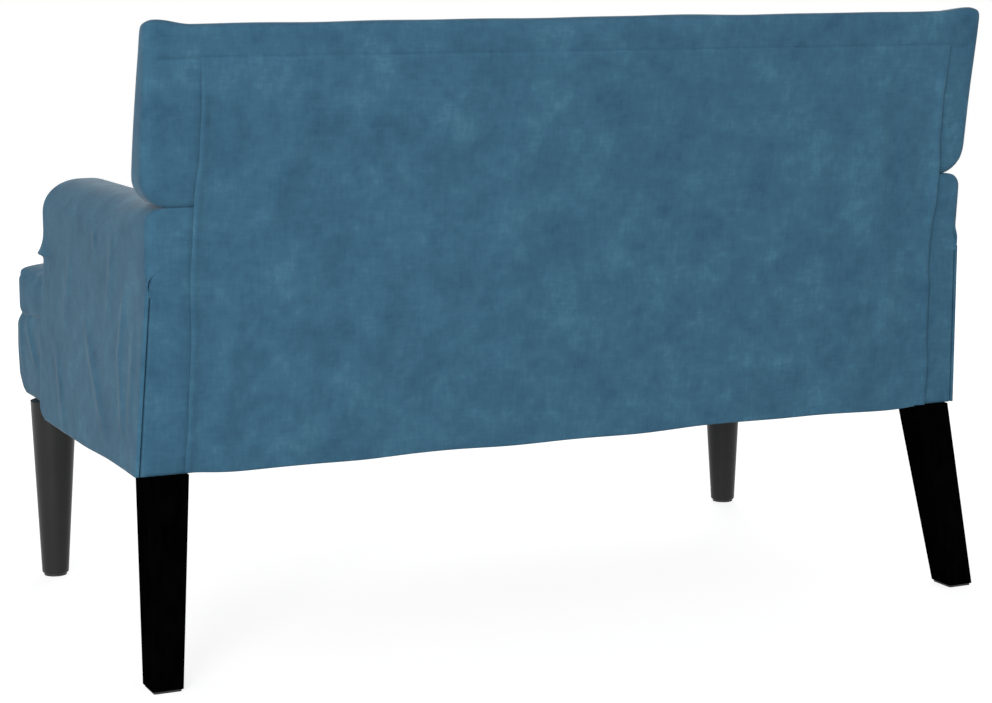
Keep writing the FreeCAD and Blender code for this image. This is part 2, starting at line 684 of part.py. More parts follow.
def wing_frames():
    """Short rail and post that carry each wing of the back above the arms."""
    rail = rear_slab(STILE_OUTER, WING_FRAME_HALF, FRAME_NEAR, FRAME_FAR, WING_RAIL_BOTTOM, WING_RAIL_TOP)
    inner = WING_FRAME_HALF - WING_POST_WIDTH
    post = rear_slab(inner, WING_FRAME_HALF, FRAME_NEAR, FRAME_FAR, WING_RAIL_TOP, TOP_RAIL_BOTTOM)
    return group(both_sides([rail, post]))


def tufting_board():
    """T-shaped plywood on the front of the back frame, bored for the tuft cords."""
    lower = rear_slab(-STILE_OUTER, STILE_OUTER, FRAME_FAR, BOARD_FAR, SEAT_BOTTOM, WING_RAIL_TOP)
    half = WING_FRAME_HALF
    upper = rear_slab(-half, half, FRAME_FAR, BOARD_FAR, WING_RAIL_BOTTOM, BACK_FRAME_TOP)
    return lower.fuse(upper).removeSplitter().cut(cord_bores())


# Back padding, tufts and cover

def wing_form(skin):
    """Upper bar of the back, with wings over the arms, rounded more in front than behind."""
    near = REAR_STEP + skin
    far = WING_THICKNESS - skin
    loops = []
    for deep, draw in WING_SHARES:
        inset = WING_ROUND * draw + skin
        loops.append(upright_loop(
            WING_HALF_WIDTH - inset, WING_BOTTOM + inset, BENCH_HEIGHT - inset,
            near + (far - near) * deep, WING_CORNER_RADIUS, WING_BOTTOM))
    return lofted(loops)


def pad_form(skin):
    """Middle pad of the back, between the arms and up to the top edge."""
    far = PAD_THICKNESS - skin
    loops = []
    for deep, draw in PAD_SHARES:
        inset = PAD_ROUND * draw + skin
        loops.append(upright_loop(
            PAD_HALF - inset, SEAT_BOTTOM + PAD_LIFT + inset, BENCH_HEIGHT - PAD_TOP_SETBACK - inset,
            FRAME_MIDDLE + (far - FRAME_MIDDLE) * deep, PAD_CORNER_RADIUS, SEAT_BOTTOM))
    return lofted(loops)


def back_form(skin):
    return wing_form(skin).fuse(pad_form(skin)).cut(tuft_hollows(skin))


def frame_space():
    """Space that the back frame and the tufting board take up."""
    return rear_slab(-WING_FRAME_HALF, WING_FRAME_HALF, -OVERRUN, BOARD_FAR, 0, BACK_FRAME_TOP)


def rear_opening():
    """Space behind the back frame that the loose rear panel closes."""
    half = FLAP_TOP_HALF_WIDTH - STRIP_INSET - STRIP_WIDTH
    behind = rear_slab(-half, half, -OVERRUN, FRAME_NEAR, 0, TOP_RAIL_BOTTOM)
    return behind.fuse(rear_slab(-WING_FRAME_HALF, WING_FRAME_HALF, FRAME_NEAR, BOARD_FAR, 0, BACK_FRAME_TOP))


def back_foam():
    return back_form(CLOTH).cut(frame_space()).cut(cord_bores())


def back_cover():
    return back_form(0).cut(back_form(CLOTH)).cut(rear_opening()).cut(cord_bores())


def tuft_places():
    """Button positions as x and height, in staggered rows."""
    places = []
    for row, count in enumerate(TUFT_COUNTS):
        height = TUFT_TOP - row * TUFT_ROW_STEP
        middle = (count - 1) / 2
        places += [((index - middle) * TUFT_COLUMN_STEP, height) for index in range(count)]
    return places


def tuft_floor():
    """Depth of the tuft floors in front of the rear line."""
    return PAD_THICKNESS - TUFT_DEPTH


def at_tufts(shape, depth):
    return [aimed(shape, rear_point(x, depth, z), Vector(0, -1, 0)) for x, z in tuft_places()]


def tuft_hollows(skin):
    """Cones that draw the pad in at each button."""
    floor_radius = BUTTON_RADIUS + BUTTON_CLEARANCE
    slope = (TUFT_MOUTH_RADIUS - floor_radius) / TUFT_DEPTH
    length = TUFT_DEPTH + OVERRUN
    cone = Part.makeCone(floor_radius + skin, floor_radius + skin + slope * length, length)
    return at_tufts(cone, tuft_floor() - skin)


def cord_bores():
    bore = Part.makeCylinder(CORD_RADIUS + CORD_CLEARANCE, tuft_floor() - FRAME_FAR)
    return at_tufts(bore, FRAME_FAR)


def anchor_seat():
    """Depth of the tuft anchors' front faces, just behind the raked tufting board."""
    return FRAME_FAR - ANCHOR_RADIUS * math.tan(math.radians(UPPER_RAKE_DEGREES))


def anchor_recesses():
    """Room for the tuft anchors in any rail that they meet."""
    blank = Part.makeCylinder(ANCHOR_RADIUS + CORD_CLEARANCE, BACK_FRAME_THICKNESS)
    return at_tufts(blank, anchor_seat() - ANCHOR_THICKNESS - CORD_CLEARANCE)


def tuft_cords():
    """Cord of each tuft, from its button to a washer behind the tufting board."""
    seat = anchor_seat()
    cord = Part.makeCylinder(CORD_RADIUS, tuft_floor() - seat)
    anchor = Part.makeCylinder(ANCHOR_RADIUS, ANCHOR_THICKNESS, Vector(0, 0, -ANCHOR_THICKNESS))
    return group(at_tufts(cord.fuse(anchor), seat))


def tuft_buttons():
    button = Part.makeCylinder(BUTTON_RADIUS, BUTTON_THICKNESS)
    rim = [edge for edge in button.Edges if edge.BoundBox.ZMin > BUTTON_THICKNESS / 2]
    return group(at_tufts(button.makeFillet(BUTTON_ROUND, rim), tuft_floor()))


# Loose rear panel

def flap_half(height):
    """Half the panel's width, which grows towards its foot."""
    drop = (FLAP_TOP - height) / (FLAP_TOP - UNDERSIDE_HEIGHT)
    return FLAP_TOP_HALF_WIDTH + (FLAP_FOOT_HALF_WIDTH - FLAP_TOP_HALF_WIDTH) * drop


def flap_arcs(height, depth):
    """Shallow folds across the panel at one height, as arcs that swell to the rear."""
    half = flap_half(height)
    arcs = []
    start = -half
    for along, rise in FLAP_FOLD_SHARES:
        end = -half + (half + half) * along
        crown = depth - FLAP_FOLD_RISE * rise
        arcs.append((rear_point(start, depth, height), rear_point((start + end) / 2, crown, height),
                     rear_point(end, depth, height)))
        start = end
    return arcs


def flap_section(height):
    rear = flap_arcs(height, 0)
    front = flap_arcs(height, CLOTH)
    edges = [Part.Arc(*points).toShape() for points in rear]
    edges.append(Part.LineSegment(rear[-1][-1], front[-1][-1]).toShape())
    edges += [Part.Arc(*reversed(points)).toShape() for points in reversed(front)]
    edges.append(Part.LineSegment(front[0][0], rear[0][0]).toShape())
    return Part.Wire(edges)


def rear_flap():
    sections = [flap_section(height) for height in (UNDERSIDE_HEIGHT, BEND_HEIGHT, FLAP_TOP)]
    return lofted(sections, True)


def flap_strips():
    """Fastening strips between the loose panel and the cover behind it: two sides and the top."""
    outer = FLAP_TOP_HALF_WIDTH - STRIP_INSET
    side = rear_slab(outer - STRIP_WIDTH, outer, CLOTH, REAR_STEP, UNDERSIDE_HEIGHT, FLAP_TOP - STRIP_WIDTH)
    top = rear_slab(-outer, outer, CLOTH, REAR_STEP, FLAP_TOP - STRIP_WIDTH, FLAP_TOP)
    return group(both_sides([side]) + [top])


# Legs

def front_leg():
    """Left front leg, a round taper that stands slightly outwards."""
    top = Part.Wire(Part.makeCircle(FRONT_LEG_TOP_RADIUS, Vector(RAIL_CENTRE, FRONT_LEG_Y, UNDERSIDE_HEIGHT)))
    foot = Part.Wire(Part.makeCircle(FRONT_LEG_FOOT_RADIUS, front_foot()))
    leg = lofted([foot, top], True)
    rim = [edge for edge in leg.Edges if edge.BoundBox.ZMax < UNDERSIDE_HEIGHT / 2]
    return leg.makeFillet(LEG_EDGE_RADIUS, rim).cut(leg_bolt_hole(front_leg_place()))


def front_foot():
    return Vector(RAIL_CENTRE + FRONT_LEG_SPLAY, FRONT_LEG_Y, GLIDE_THICKNESS)


def front_leg_place():
    return Vector(RAIL_CENTRE, FRONT_LEG_Y, UNDERSIDE_HEIGHT)


def rear_leg_place():
    """Where the left rear leg's bolt enters, under the middle of its block."""
    return Vector(RAIL_CENTRE, rear_y(FRAME_BOTTOM) - FRAME_MIDDLE, UNDERSIDE_HEIGHT)


def rear_leg_top():
    return rear_leg_place() + Vector(REAR_LEG_OFFSET, 0, 0)


def rear_foot():
    top = rear_leg_top()
    return Vector(top.x + REAR_LEG_SPLAY, REAR_Y - REAR_LEG_FOOT_DEPTH / 2, GLIDE_THICKNESS)


def leg_loop(centre, width, depth, inset):
    across = width / 2 - inset
    along = depth / 2 - inset
    return level_loop(centre.x - across, centre.x + across, centre.y - along, centre.y + along,
                      centre.z, LEG_EDGE_RADIUS)


def rear_leg():
    """Left rear leg, a square taper that rakes back and outwards."""
    foot = leg_loop(rear_foot(), REAR_LEG_FOOT_WIDTH, REAR_LEG_FOOT_DEPTH, 0)
    top = leg_loop(rear_leg_top(), REAR_LEG_TOP_WIDTH, REAR_LEG_TOP_DEPTH, 0)
    return lofted([foot, top], True).cut(leg_bolt_hole(rear_leg_place()))


def leg_bolt_hole(place):
    return Part.makeCylinder(BOLT_RADIUS, LEG_BOLT_REACH, place - Vector(0, 0, LEG_BOLT_REACH))


def leg_glides():
    """Floor pads under the four feet."""
    down = Vector(0, 0, -GLIDE_THICKNESS)
    front = Part.Wire(Part.makeCircle(FRONT_LEG_FOOT_RADIUS - LEG_EDGE_RADIUS, front_foot()))
    rear = leg_loop(rear_foot(), REAR_LEG_FOOT_WIDTH, REAR_LEG_FOOT_DEPTH, GLIDE_INSET)
    return group(both_sides([Part.Face(outline).extrude(down) for outline in (front, rear)]))


def leg_plate_places():
    """Bolt places of the left legs, each with half the room that its plate has along Y."""
    return (
        (front_leg_place(), LEG_PLATE_LENGTH / 2),
        (rear_leg_place(), BACK_FRAME_THICKNESS / 2 - LEG_PLATE_MARGIN),
    )


def leg_plate_blank(place, margin):
    centre, reach = place
    half = RAIL_THICKNESS / 2 + margin
    along = reach + margin
    return box(centre.x - half, centre.x + half, centre.y - along, centre.y + along,
               UNDERSIDE_HEIGHT, FRAME_BOTTOM)


def leg_plates():
    """Steel plates between the legs and the frame, bored for the leg bolts."""
    plates = []
    for place in leg_plate_places():
        bore = Part.makeCylinder(BOLT_RADIUS, FRAME_LIFT, place[0])
        plates.append(leg_plate_blank(place, 0).cut(bore))
    return group(both_sides(plates))


# Fasteners

def leg_bolts():
    """Hanger bolts that join the legs to the nuts in the frame."""
    length = LEG_BOLT_REACH + FRAME_LIFT + INSERT_NUT_LENGTH
    down = Vector(0, 0, LEG_BOLT_REACH)
    rods = [Part.makeCylinder(BOLT_RADIUS, length, place - down) for place, reach in leg_plate_places()]
    return group(both_sides(rods))


def insert_nut_blank(place):
    return Part.makeCylinder(INSERT_NUT_RADIUS, INSERT_NUT_LENGTH, Vector(place.x, place.y, FRAME_BOTTOM))


def leg_insert_nuts():
    nuts = []
    for place, reach in leg_plate_places():
        bore = Part.makeCylinder(BOLT_RADIUS, INSERT_NUT_LENGTH, Vector(place.x, place.y, FRAME_BOTTOM))
        nuts.append(insert_nut_blank(place).cut(bore))
    return group(both_sides(nuts))


def insert_nut_holes():
    return both_sides([insert_nut_blank(place) for place, reach in leg_plate_places()])


def arm_bolt_places():
    """Start of each left arm bolt on the inner face of the side rail, ahead of the rear corner block."""
    start = ARM_FRAME_FRONT + ARM_POST_THICKNESS
    run = rear_y(RAIL_MIDDLE) - REAR_RAIL_FAR - CORNER_BLOCK_LEG - WASHER_RADIUS - start
    return [Vector(RAIL_INNER, start + run * share, RAIL_MIDDLE) for share in ARM_BOLT_SHARES]


def back_bolt_places():
    """Start of each back bolt, on the floor of its counterbore in the bottom rail of the back."""
    return [rear_point(STILE_INNER * share, FRAME_NEAR + COUNTERBORE_DEPTH, RAIL_MIDDLE)
            for share in BACK_BOLT_SHARES]


def back_grip():
    """Wood between a back bolt's washer and the front face of the rear rail."""
    rake = math.radians(LOWER_RAKE_DEGREES)
    return (REAR_RAIL_FAR - FRAME_NEAR - COUNTERBORE_DEPTH) * math.cos(rake)


def at_bolts(arm_shape, back_shape):
    """Copies at every frame bolt: the arms' along X on both sides, the back's along its own axis."""
    arm = [aimed(arm_shape, place, Vector(1, 0, 0)) for place in arm_bolt_places()]
    back = [aimed(back_shape, place, rear_axis()) for place in back_bolt_places()]
    return both_sides(arm) + back


def arm_grip():
    return arm_rail_outer() - RAIL_INNER


def bolt(grip):
    """Button-head bolt with a hexagon socket, from its washer to the nut's far end."""
    length = WASHER_THICKNESS + grip - BOLT_TIP_SETBACK
    shank = Part.makeCylinder(BOLT_RADIUS, length, Vector(0, 0, -WASHER_THICKNESS))
    top = -WASHER_THICKNESS - BOLT_HEAD_HEIGHT
    crown = BOLT_HEAD_RADIUS - BOLT_HEAD_HEIGHT / 2
    head = Part.makeCone(crown, BOLT_HEAD_RADIUS, BOLT_HEAD_HEIGHT, Vector(0, 0, top))
    corners = [Vector(BOLT_SOCKET_RADIUS * math.cos(turn), BOLT_SOCKET_RADIUS * math.sin(turn), top)
               for turn in (index * math.pi / 3 for index in range(6))]
    return shank.fuse(head).cut(prism(corners, Vector(0, 0, BOLT_SOCKET_DEPTH)))


def frame_bolts():
    return group(at_bolts(bolt(arm_grip()), bolt(back_grip())))


def washer():
    ring = Part.makeCylinder(WASHER_RADIUS, WASHER_THICKNESS, Vector(0, 0, -WASHER_THICKNESS))
    return ring.cut(Part.makeCylinder(BOLT_RADIUS, WASHER_THICKNESS, Vector(0, 0, -WASHER_THICKNESS)))


def bolt_washers():
    return group(at_bolts(washer(), washer()))


def t_nut_blank(grip):
    """Flange and barrel of a T-nut let in flush with the far face of the wood."""
    flange_bottom = grip - T_NUT_FLANGE_THICKNESS
    flange = Part.makeCylinder(T_NUT_FLANGE_RADIUS, T_NUT_FLANGE_THICKNESS, Vector(0, 0, flange_bottom))
    barrel_bottom = Vector(0, 0, flange_bottom - T_NUT_BARREL_LENGTH)
    return flange.fuse(Part.makeCylinder(T_NUT_BARREL_RADIUS, T_NUT_BARREL_LENGTH, barrel_bottom))


def t_nut(grip):
    return t_nut_blank(grip).cut(Part.makeCylinder(BOLT_RADIUS, grip))


def frame_t_nuts():
    return group(at_bolts(t_nut(arm_grip()), t_nut(back_grip())))


def bolt_cutter(grip, counterbore):
    """Clearance hole for a bolt, with room for its head and its T-nut."""
    hole = Part.makeCylinder(BOLT_RADIUS + BOLT_CLEARANCE, grip)
    mouth = Part.makeCylinder(WASHER_RADIUS + BOLT_CLEARANCE, counterbore, Vector(0, 0, -counterbore))
    return hole.fuse(t_nut_blank(grip)).fuse(mouth)


def bolt_holes():
    deep = COUNTERBORE_DEPTH + BOLT_HEAD_HEIGHT
    return at_bolts(bolt_cutter(arm_grip(), deep), bolt_cutter(back_grip(), deep))


def dowel_places():
    """Middle, direction and half length of the dowels on the left half of the two frames."""
    half = DOWEL_LENGTH / 2
    rail_half = BACK_TOP_RAIL_HEIGHT * DOWEL_DEPTH_SHARE
    along = Vector(0, 1, 0)
    across = Vector(1, 0, 0)
    places = []
    for share in DOWEL_HEIGHT_SHARES:
        height = FRAME_BOTTOM + RAIL_HEIGHT * share
        places.append((Vector(RAIL_CENTRE, FRONT_RAIL_REAR, height), along, half))
        places.append((rear_point(RAIL_CENTRE, REAR_RAIL_FAR, height), along, half))
        places.append((rear_point(STILE_INNER, FRAME_MIDDLE, height), across, half))
    middle = MIDDLE_RAIL_TOP - BACK_MIDDLE_RAIL_HEIGHT / 2
    places.append((rear_point(STILE_INNER, FRAME_MIDDLE, middle), across, half))
    wing = (WING_RAIL_BOTTOM + WING_RAIL_TOP) / 2
    places.append((rear_point(STILE_OUTER, FRAME_MIDDLE, wing), across, half))
    rake = math.radians(UPPER_RAKE_DEGREES)
    upright = Vector(0, math.sin(rake), math.cos(rake))
    for x in ((STILE_INNER + STILE_OUTER) / 2, WING_FRAME_HALF - WING_POST_WIDTH / 2):
        places.append((rear_point(x, FRAME_MIDDLE, TOP_RAIL_BOTTOM), upright, rail_half))
    return places


def frame_dowels():
    dowels = []
    for place, axis, half in dowel_places():
        dowel = Part.makeCylinder(DOWEL_RADIUS, half + half, Vector(0, 0, -half))
        dowels.append(aimed(dowel, place, axis))
    return both_sides(dowels)


# Every named piece

def soft_pieces():
    return {
        "spring_felt": spring_felt(),
        "seat_foam": seat_foam(),
        "seat_cover": seat_cover(),
        "apron_pad": apron_pad(),
        "apron_cover": apron_cover(),
        "dust_cover": dust_cover(),
        "back_foam": back_foam(),
        "back_cover": back_cover(),
        "tuft_buttons": tuft_buttons(),
        "tuft_cords": tuft_cords(),
        "rear_flap": rear_flap(),
        "flap_strips": flap_strips(),
    }


def wooden_pieces():
    """Frame pieces that dowels, bolts and nuts pass into."""
    half = STILE_INNER
    middle_bottom = MIDDLE_RAIL_TOP - BACK_MIDDLE_RAIL_HEIGHT
    return {
        "front_seat_rail": front_rail(),
        "rear_seat_rail": rear_rail(),
        "left_seat_rail": side_rail(),
        "right_seat_rail": mirrored(side_rail()),
        "rear_leg_blocks": group(both_sides([rear_leg_block()])),
        "left_arm_bottom_rail": arm_bottom_rail(),
        "right_arm_bottom_rail": mirrored(arm_bottom_rail()),
        "left_back_stile": back_stile(),
        "right_back_stile": mirrored(back_stile()),
        "back_bottom_rail": back_rail(half, FRAME_BOTTOM, FRAME_TOP),
        "back_middle_rail": back_rail(half, middle_bottom, MIDDLE_RAIL_TOP),
        "back_top_rail": back_rail(WING_FRAME_HALF, TOP_RAIL_BOTTOM, BACK_FRAME_TOP),
        "back_wing_frames": wing_frames(),
    }


def arm_pieces():
    """Arm pieces of one side, before the right ones are mirrored."""
    return {
        "arm_front_post": arm_front_post(),
        "arm_rear_post": arm_rear_post(),
        "arm_top_board": arm_top_board(),
        "arm_inner_panel": arm_inner_panel(),
        "arm_foam": arm_foam(),
        "arm_cover": arm_cover(),
        "outer_panel_board": outer_panel(CLOTH, OUTER_LAYER),
        "outer_panel_cover": outer_panel(0, CLOTH),
        "front_leg": front_leg(),
        "rear_leg": rear_leg(),
    }


def hardware():
    return {
        "centre_stretcher": centre_stretcher(),
        "tufting_board": tufting_board(),
        "corner_blocks": corner_blocks(),
        "seat_springs": group([sinuous_spring(x) for x in spring_places()]),
        "spring_clips": spring_clips(),
        "leg_plates": leg_plates(),
        "leg_bolts": leg_bolts(),
        "leg_insert_nuts": leg_insert_nuts(),
        "leg_glides": leg_glides(),
        "frame_bolts": frame_bolts(),
        "bolt_washers": bolt_washers(),
        "frame_t_nuts": frame_t_nuts(),
        "frame_dowels": group(frame_dowels()),
    }


def all_pieces():
    pieces = soft_pieces()
    cutters = bolt_holes() + frame_dowels() + insert_nut_holes() + anchor_recesses()
    for name, shape in wooden_pieces().items():
        pieces[name] = shape.cut(cutters)
    for name, shape in arm_pieces().items():
        pieces["left_" + name] = shape
        pieces["right_" + name] = mirrored(shape)
    pieces.update(hardware())
    return pieces


os.makedirs("parts", exist_ok=True)
for node, shape in all_pieces().items():
    shape.exportStep("parts/" + node + ".step")
    print(node, len(shape.Solids), round(shape.Volume))
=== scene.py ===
"""Upholstered bench in blue velvet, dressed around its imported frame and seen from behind."""
import json
import math

import bmesh
import bpy
import numpy as np
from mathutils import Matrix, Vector


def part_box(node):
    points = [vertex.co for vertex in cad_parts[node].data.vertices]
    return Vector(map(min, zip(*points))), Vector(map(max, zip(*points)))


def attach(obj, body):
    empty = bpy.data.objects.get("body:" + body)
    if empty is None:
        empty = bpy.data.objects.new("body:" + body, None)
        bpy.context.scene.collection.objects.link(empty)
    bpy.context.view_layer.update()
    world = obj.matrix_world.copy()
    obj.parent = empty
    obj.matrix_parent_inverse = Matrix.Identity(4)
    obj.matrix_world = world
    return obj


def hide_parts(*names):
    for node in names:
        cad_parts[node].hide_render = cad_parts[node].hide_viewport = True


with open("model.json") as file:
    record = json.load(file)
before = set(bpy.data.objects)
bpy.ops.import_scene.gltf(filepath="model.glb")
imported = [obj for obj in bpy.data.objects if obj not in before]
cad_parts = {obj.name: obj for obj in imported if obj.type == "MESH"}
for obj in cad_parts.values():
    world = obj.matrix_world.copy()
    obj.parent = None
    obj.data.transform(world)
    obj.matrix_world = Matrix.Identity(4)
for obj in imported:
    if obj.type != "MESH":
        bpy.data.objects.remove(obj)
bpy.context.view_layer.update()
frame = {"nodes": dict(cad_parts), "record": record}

# Driving sizes in metres; the arms' height and the wings' bottom lie a little below those of the solids
BASE_WIDTH = 1.125
BENCH_HEIGHT = 0.760
UNDERSIDE = 0.240
FRONT_Y = -0.3375
REAR_FOOT_Y = 0.2845
BEND_HEIGHT = 0.553
LOWER_SLOPE = math.tan(math.radians(4.4))
UPPER_SLOPE = math.tan(math.radians(8.0))
REAR_STEP = 0.004

SEAT_BOTTOM = 0.3456
SEAT_HEIGHT = 0.430
CREASE_HEIGHT = 0.353
EAR_HALF = 0.545
SEAT_FRONT_Y = -0.3195

ARM_HEIGHT = 0.548
ARM_INNER = 0.450
ARM_OUTER_TOP = 0.550
ARM_FRONT_Y = -0.160
ARM_FLARE_TOP = 0.455
CAP_BOTTOM = 0.447

WING_HALF = 0.556
WING_BOTTOM = 0.5465
WING_THICKNESS = 0.096
PAD_HALF = 0.449
PAD_THICKNESS = 0.119
FLAP_TOP = 0.713

TUFT_COUNTS = (6, 5, 6)
TUFT_COLUMN_STEP = 0.150
TUFT_ROW_STEP = 0.080
TUFT_TOP_HEIGHT = 0.655
TUFT_DEPTH = 0.030
BUTTON_RADIUS = 0.012


def rear_y(z):
    """Y of the rear line at a height; it leans further back above the bend."""
    lower = REAR_FOOT_Y + (np.minimum(z, BEND_HEIGHT) - UNDERSIDE) * LOWER_SLOPE
    return lower + np.maximum(z - BEND_HEIGHT, 0) * UPPER_SLOPE


def outer_x(z):
    """X of the left arm's outer face at a height; it flares towards the underside."""
    share = np.clip((ARM_FLARE_TOP - z) / (ARM_FLARE_TOP - UNDERSIDE), 0, 1)
    return ARM_OUTER_TOP + (BASE_WIDTH / 2 - ARM_OUTER_TOP) * share


# Mesh helpers

MERGE_DISTANCE = 0.00005
SOFTEN_SHARE = 0.5
SOFTEN_PASSES = 3


def new_object(name, points, faces):
    mesh = bpy.data.meshes.new(name)
    mesh.from_pydata(np.asarray(points).tolist(), [], faces)
    piece = bpy.data.objects.new(name, mesh)
    bpy.context.scene.collection.objects.link(piece)
    return piece


def tidy_mesh(piece):
    """Merges doubled points and turns all faces outwards."""
    work = bmesh.new()
    work.from_mesh(piece.data)
    bmesh.ops.remove_doubles(work, verts=work.verts, dist=MERGE_DISTANCE)
    bmesh.ops.recalc_face_normals(work, faces=work.faces)
    work.to_mesh(piece.data)
    work.free()
    return piece


def grid_faces(rows, columns, wrapped):
    """Quads of a grid of points, joined round along its columns where wrapped."""
    faces = []
    for row in range(rows - 1):
        for column in range(columns if wrapped else columns - 1):
            after = (column + 1) % columns
            faces.append((row * columns + column, row * columns + after,
                          (row + 1) * columns + after, (row + 1) * columns + column))
    return faces


def skinned(name, loops):
    """Closed skin through loops of equally many points, with both ends filled."""
    loops = np.asarray(loops)
    levels, around = loops.shape[:2]
    faces = grid_faces(levels, around, True)
    faces.append(tuple(range(around)))
    faces.append(tuple(range((levels - 1) * around, levels * around)))
    return tidy_mesh(new_object(name, loops.reshape(-1, 3), faces))


def points_of(piece):
    flat = np.zeros(len(piece.data.vertices) * 3, np.float32)
    piece.data.vertices.foreach_get("co", flat)
    return flat.reshape(-1, 3).astype(float)


def normals_of(piece):
    flat = np.zeros(len(piece.data.vertices) * 3, np.float32)
    piece.data.vertex_normals.foreach_get("vector", flat)
    return flat.reshape(-1, 3).astype(float)


def set_points(piece, points):
    piece.data.vertices.foreach_set("co", np.asarray(points, np.float32).ravel())
    piece.data.update()


def baked(piece):
    """Replaces a piece's mesh by what its modifiers make of it."""
    bpy.context.view_layer.update()
    graph = bpy.context.evaluated_depsgraph_get()
    mesh = bpy.data.meshes.new_from_object(piece.evaluated_get(graph))
    piece.modifiers.clear()
    piece.data = mesh
    return piece


def joined(name, parts):
    """One object with the meshes of several, which it takes over."""
    work = bmesh.new()
    for part in parts:
        work.from_mesh(part.data)
        bpy.data.objects.remove(part)
    mesh = bpy.data.meshes.new(name)
    work.to_mesh(mesh)
    work.free()
    piece = bpy.data.objects.new(name, mesh)
    bpy.context.scene.collection.objects.link(piece)
    return piece


def remeshed(piece, voxel):
    """Evens a piece out into small quads, and softens its edges."""
    change = piece.modifiers.new("even", "REMESH")
    change.mode = "VOXEL"
    change.voxel_size = voxel
    soften = piece.modifiers.new("soften", "SMOOTH")
    soften.factor = SOFTEN_SHARE
    soften.iterations = SOFTEN_PASSES
    return baked(piece)


def subdivided(piece):
    """Rounds a piece with finer faces; many-sided end faces are taken out first and filled again after."""
    work = bmesh.new()
    work.from_mesh(piece.data)
    ends = [face for face in work.faces if len(face.verts) > 4]
    bmesh.ops.delete(work, geom=ends, context="FACES_ONLY")
    work.to_mesh(piece.data)
    work.free()
    change = piece.modifiers.new("fine", "SUBSURF")
    change.levels = 1
    change.render_levels = 1
    baked(piece)
    work = bmesh.new()
    work.from_mesh(piece.data)
    rims = [edge for edge in work.edges if edge.is_boundary]
    filled = bmesh.ops.holes_fill(work, edges=rims, sides=0)
    bmesh.ops.triangulate(work, faces=filled["faces"])
    work.to_mesh(piece.data)
    work.free()
    return piece


def shade_smooth(piece):
    piece.data.polygons.foreach_set("use_smooth", np.ones(len(piece.data.polygons), bool))
    return piece


# Outlines and shapes

FOLD_FADE_POWER = 0.7
RIPPLE_LENGTH_SHARES = (0.7, 1.5)


def rounded_ends(length, first, last, steps):
    """Distance and inset along a block with rounded ends."""
    turns = np.linspace(0, math.pi / 2, steps + 1)
    pairs = [(first - first * math.cos(a), first - first * math.sin(a)) for a in turns]
    pairs += [(length - last + last * math.sin(a), last - last * math.cos(a)) for a in turns]
    return pairs


def smooth_step(value, low, high):
    share = np.clip((value - low) / (high - low), 0, 1)
    return share * share * (3 - 2 * share)


def eased(pairs, value):
    """Smooth curve through a few points, level at each of them."""
    places, results = zip(*pairs)
    places = np.array(places)
    results = np.array(results)
    index = np.clip(np.searchsorted(places, value) - 1, 0, len(places) - 2)
    share = smooth_step(value, places[index], places[index + 1])
    return results[index] + (results[index + 1] - results[index]) * share


def ridge(across, along, start, end, width):
    """Soft fold along a line between two points, fading out at both ends."""
    start = np.array(start)
    span = np.array(end) - start
    length = np.hypot(*span)
    unit = span / length
    du = across - start[0]
    dv = along - start[1]
    travel = (du * unit[0] + dv * unit[1]) / length
    aside = du * unit[1] - dv * unit[0]
    fade = np.sin(np.pi * np.clip(travel, 0, 1)) ** FOLD_FADE_POWER
    return np.exp(-(aside / width) ** 2) * fade


def ripples(points, wavelength, count, seed):
    """Sum of seeded sine waves, a gentle unevenness between about -1 and 1."""
    draw = np.random.default_rng(seed)
    total = np.zeros(len(points))
    for _ in range(count):
        direction = draw.normal(size=3)
        direction /= np.linalg.norm(direction)
        waves = 2 * math.pi / (wavelength * draw.uniform(*RIPPLE_LENGTH_SHARES))
        total += np.sin(points @ direction * waves + draw.uniform(0, 2 * math.pi))
    return total / math.sqrt(count)


# Cloth

SWELL_FRAMES = 20
CLOTH_TENSION = 12
CLOTH_COMPRESSION = 8
CLOTH_BENDING = 1.5
LEAST_MOVE = 1e-9


def swollen(piece, pressure, cap):
    """Swells a padded piece with a short cloth simulation, and caps how far its points move."""
    rest = points_of(piece)
    cloth = piece.modifiers.new("swell", "CLOTH")
    cloth.settings.use_pressure = True
    cloth.settings.uniform_pressure_force = pressure
    cloth.settings.effector_weights.gravity = 0
    cloth.settings.tension_stiffness = CLOTH_TENSION
    cloth.settings.compression_stiffness = CLOTH_COMPRESSION
    cloth.settings.bending_stiffness = CLOTH_BENDING
    scene = bpy.context.scene
    for moment in range(1, SWELL_FRAMES + 1):
        scene.frame_set(moment)
    baked(piece)
    scene.frame_set(1)
    move = points_of(piece) - rest
    reach = np.linalg.norm(move, axis=1, keepdims=True)
    set_points(piece, rest + move * np.minimum(1, cap / np.maximum(reach, LEAST_MOVE)))
    return piece


# Arms, modelled on the left

ARM_CORNER = 0.014
ARM_FRONT_CORNER = 0.006
ARM_REAR_CORNER = 0.012
ARM_SLIT_CORNER = 0.003
ARM_TURN_STEPS = 5
ARM_FOOT_RUN = 0.028
ARM_FOOT_RISE = 0.018
ARM_TOP_ROUND_FRONT = 0.044
ARM_TOP_ROUND_REAR = 0.018
ARM_TOP_EASE_Y = 0.110
LIP_REACH = 0.030
LIP_SIDE = 0.006
LIP_SIDE_RUN = 0.050
LIP_HEIGHT = 0.032
LIP_EDGE_STEPS = (-0.0010, 0.0, 0.0015, 0.0040)
HEM_DROP = 0.0035
HEM_RISE = 0.06
HEM_LOOSE_Y = 0.05
HEM_FIRM_Y = 0.18
SLIT_TOP = 0.477
SLIT_WIDTH = 0.0024
SLIT_DEPTH = 0.007
SLIT_FADE = 0.012
SLIT_LINE_SHARES = (0.15, 0.30, 1.00, 1.15)
SLIT_SPAN_SHARES = (0.22, 1.08)
REAR_FACING_SHARE = 0.99
CAP_STEP = 0.0010
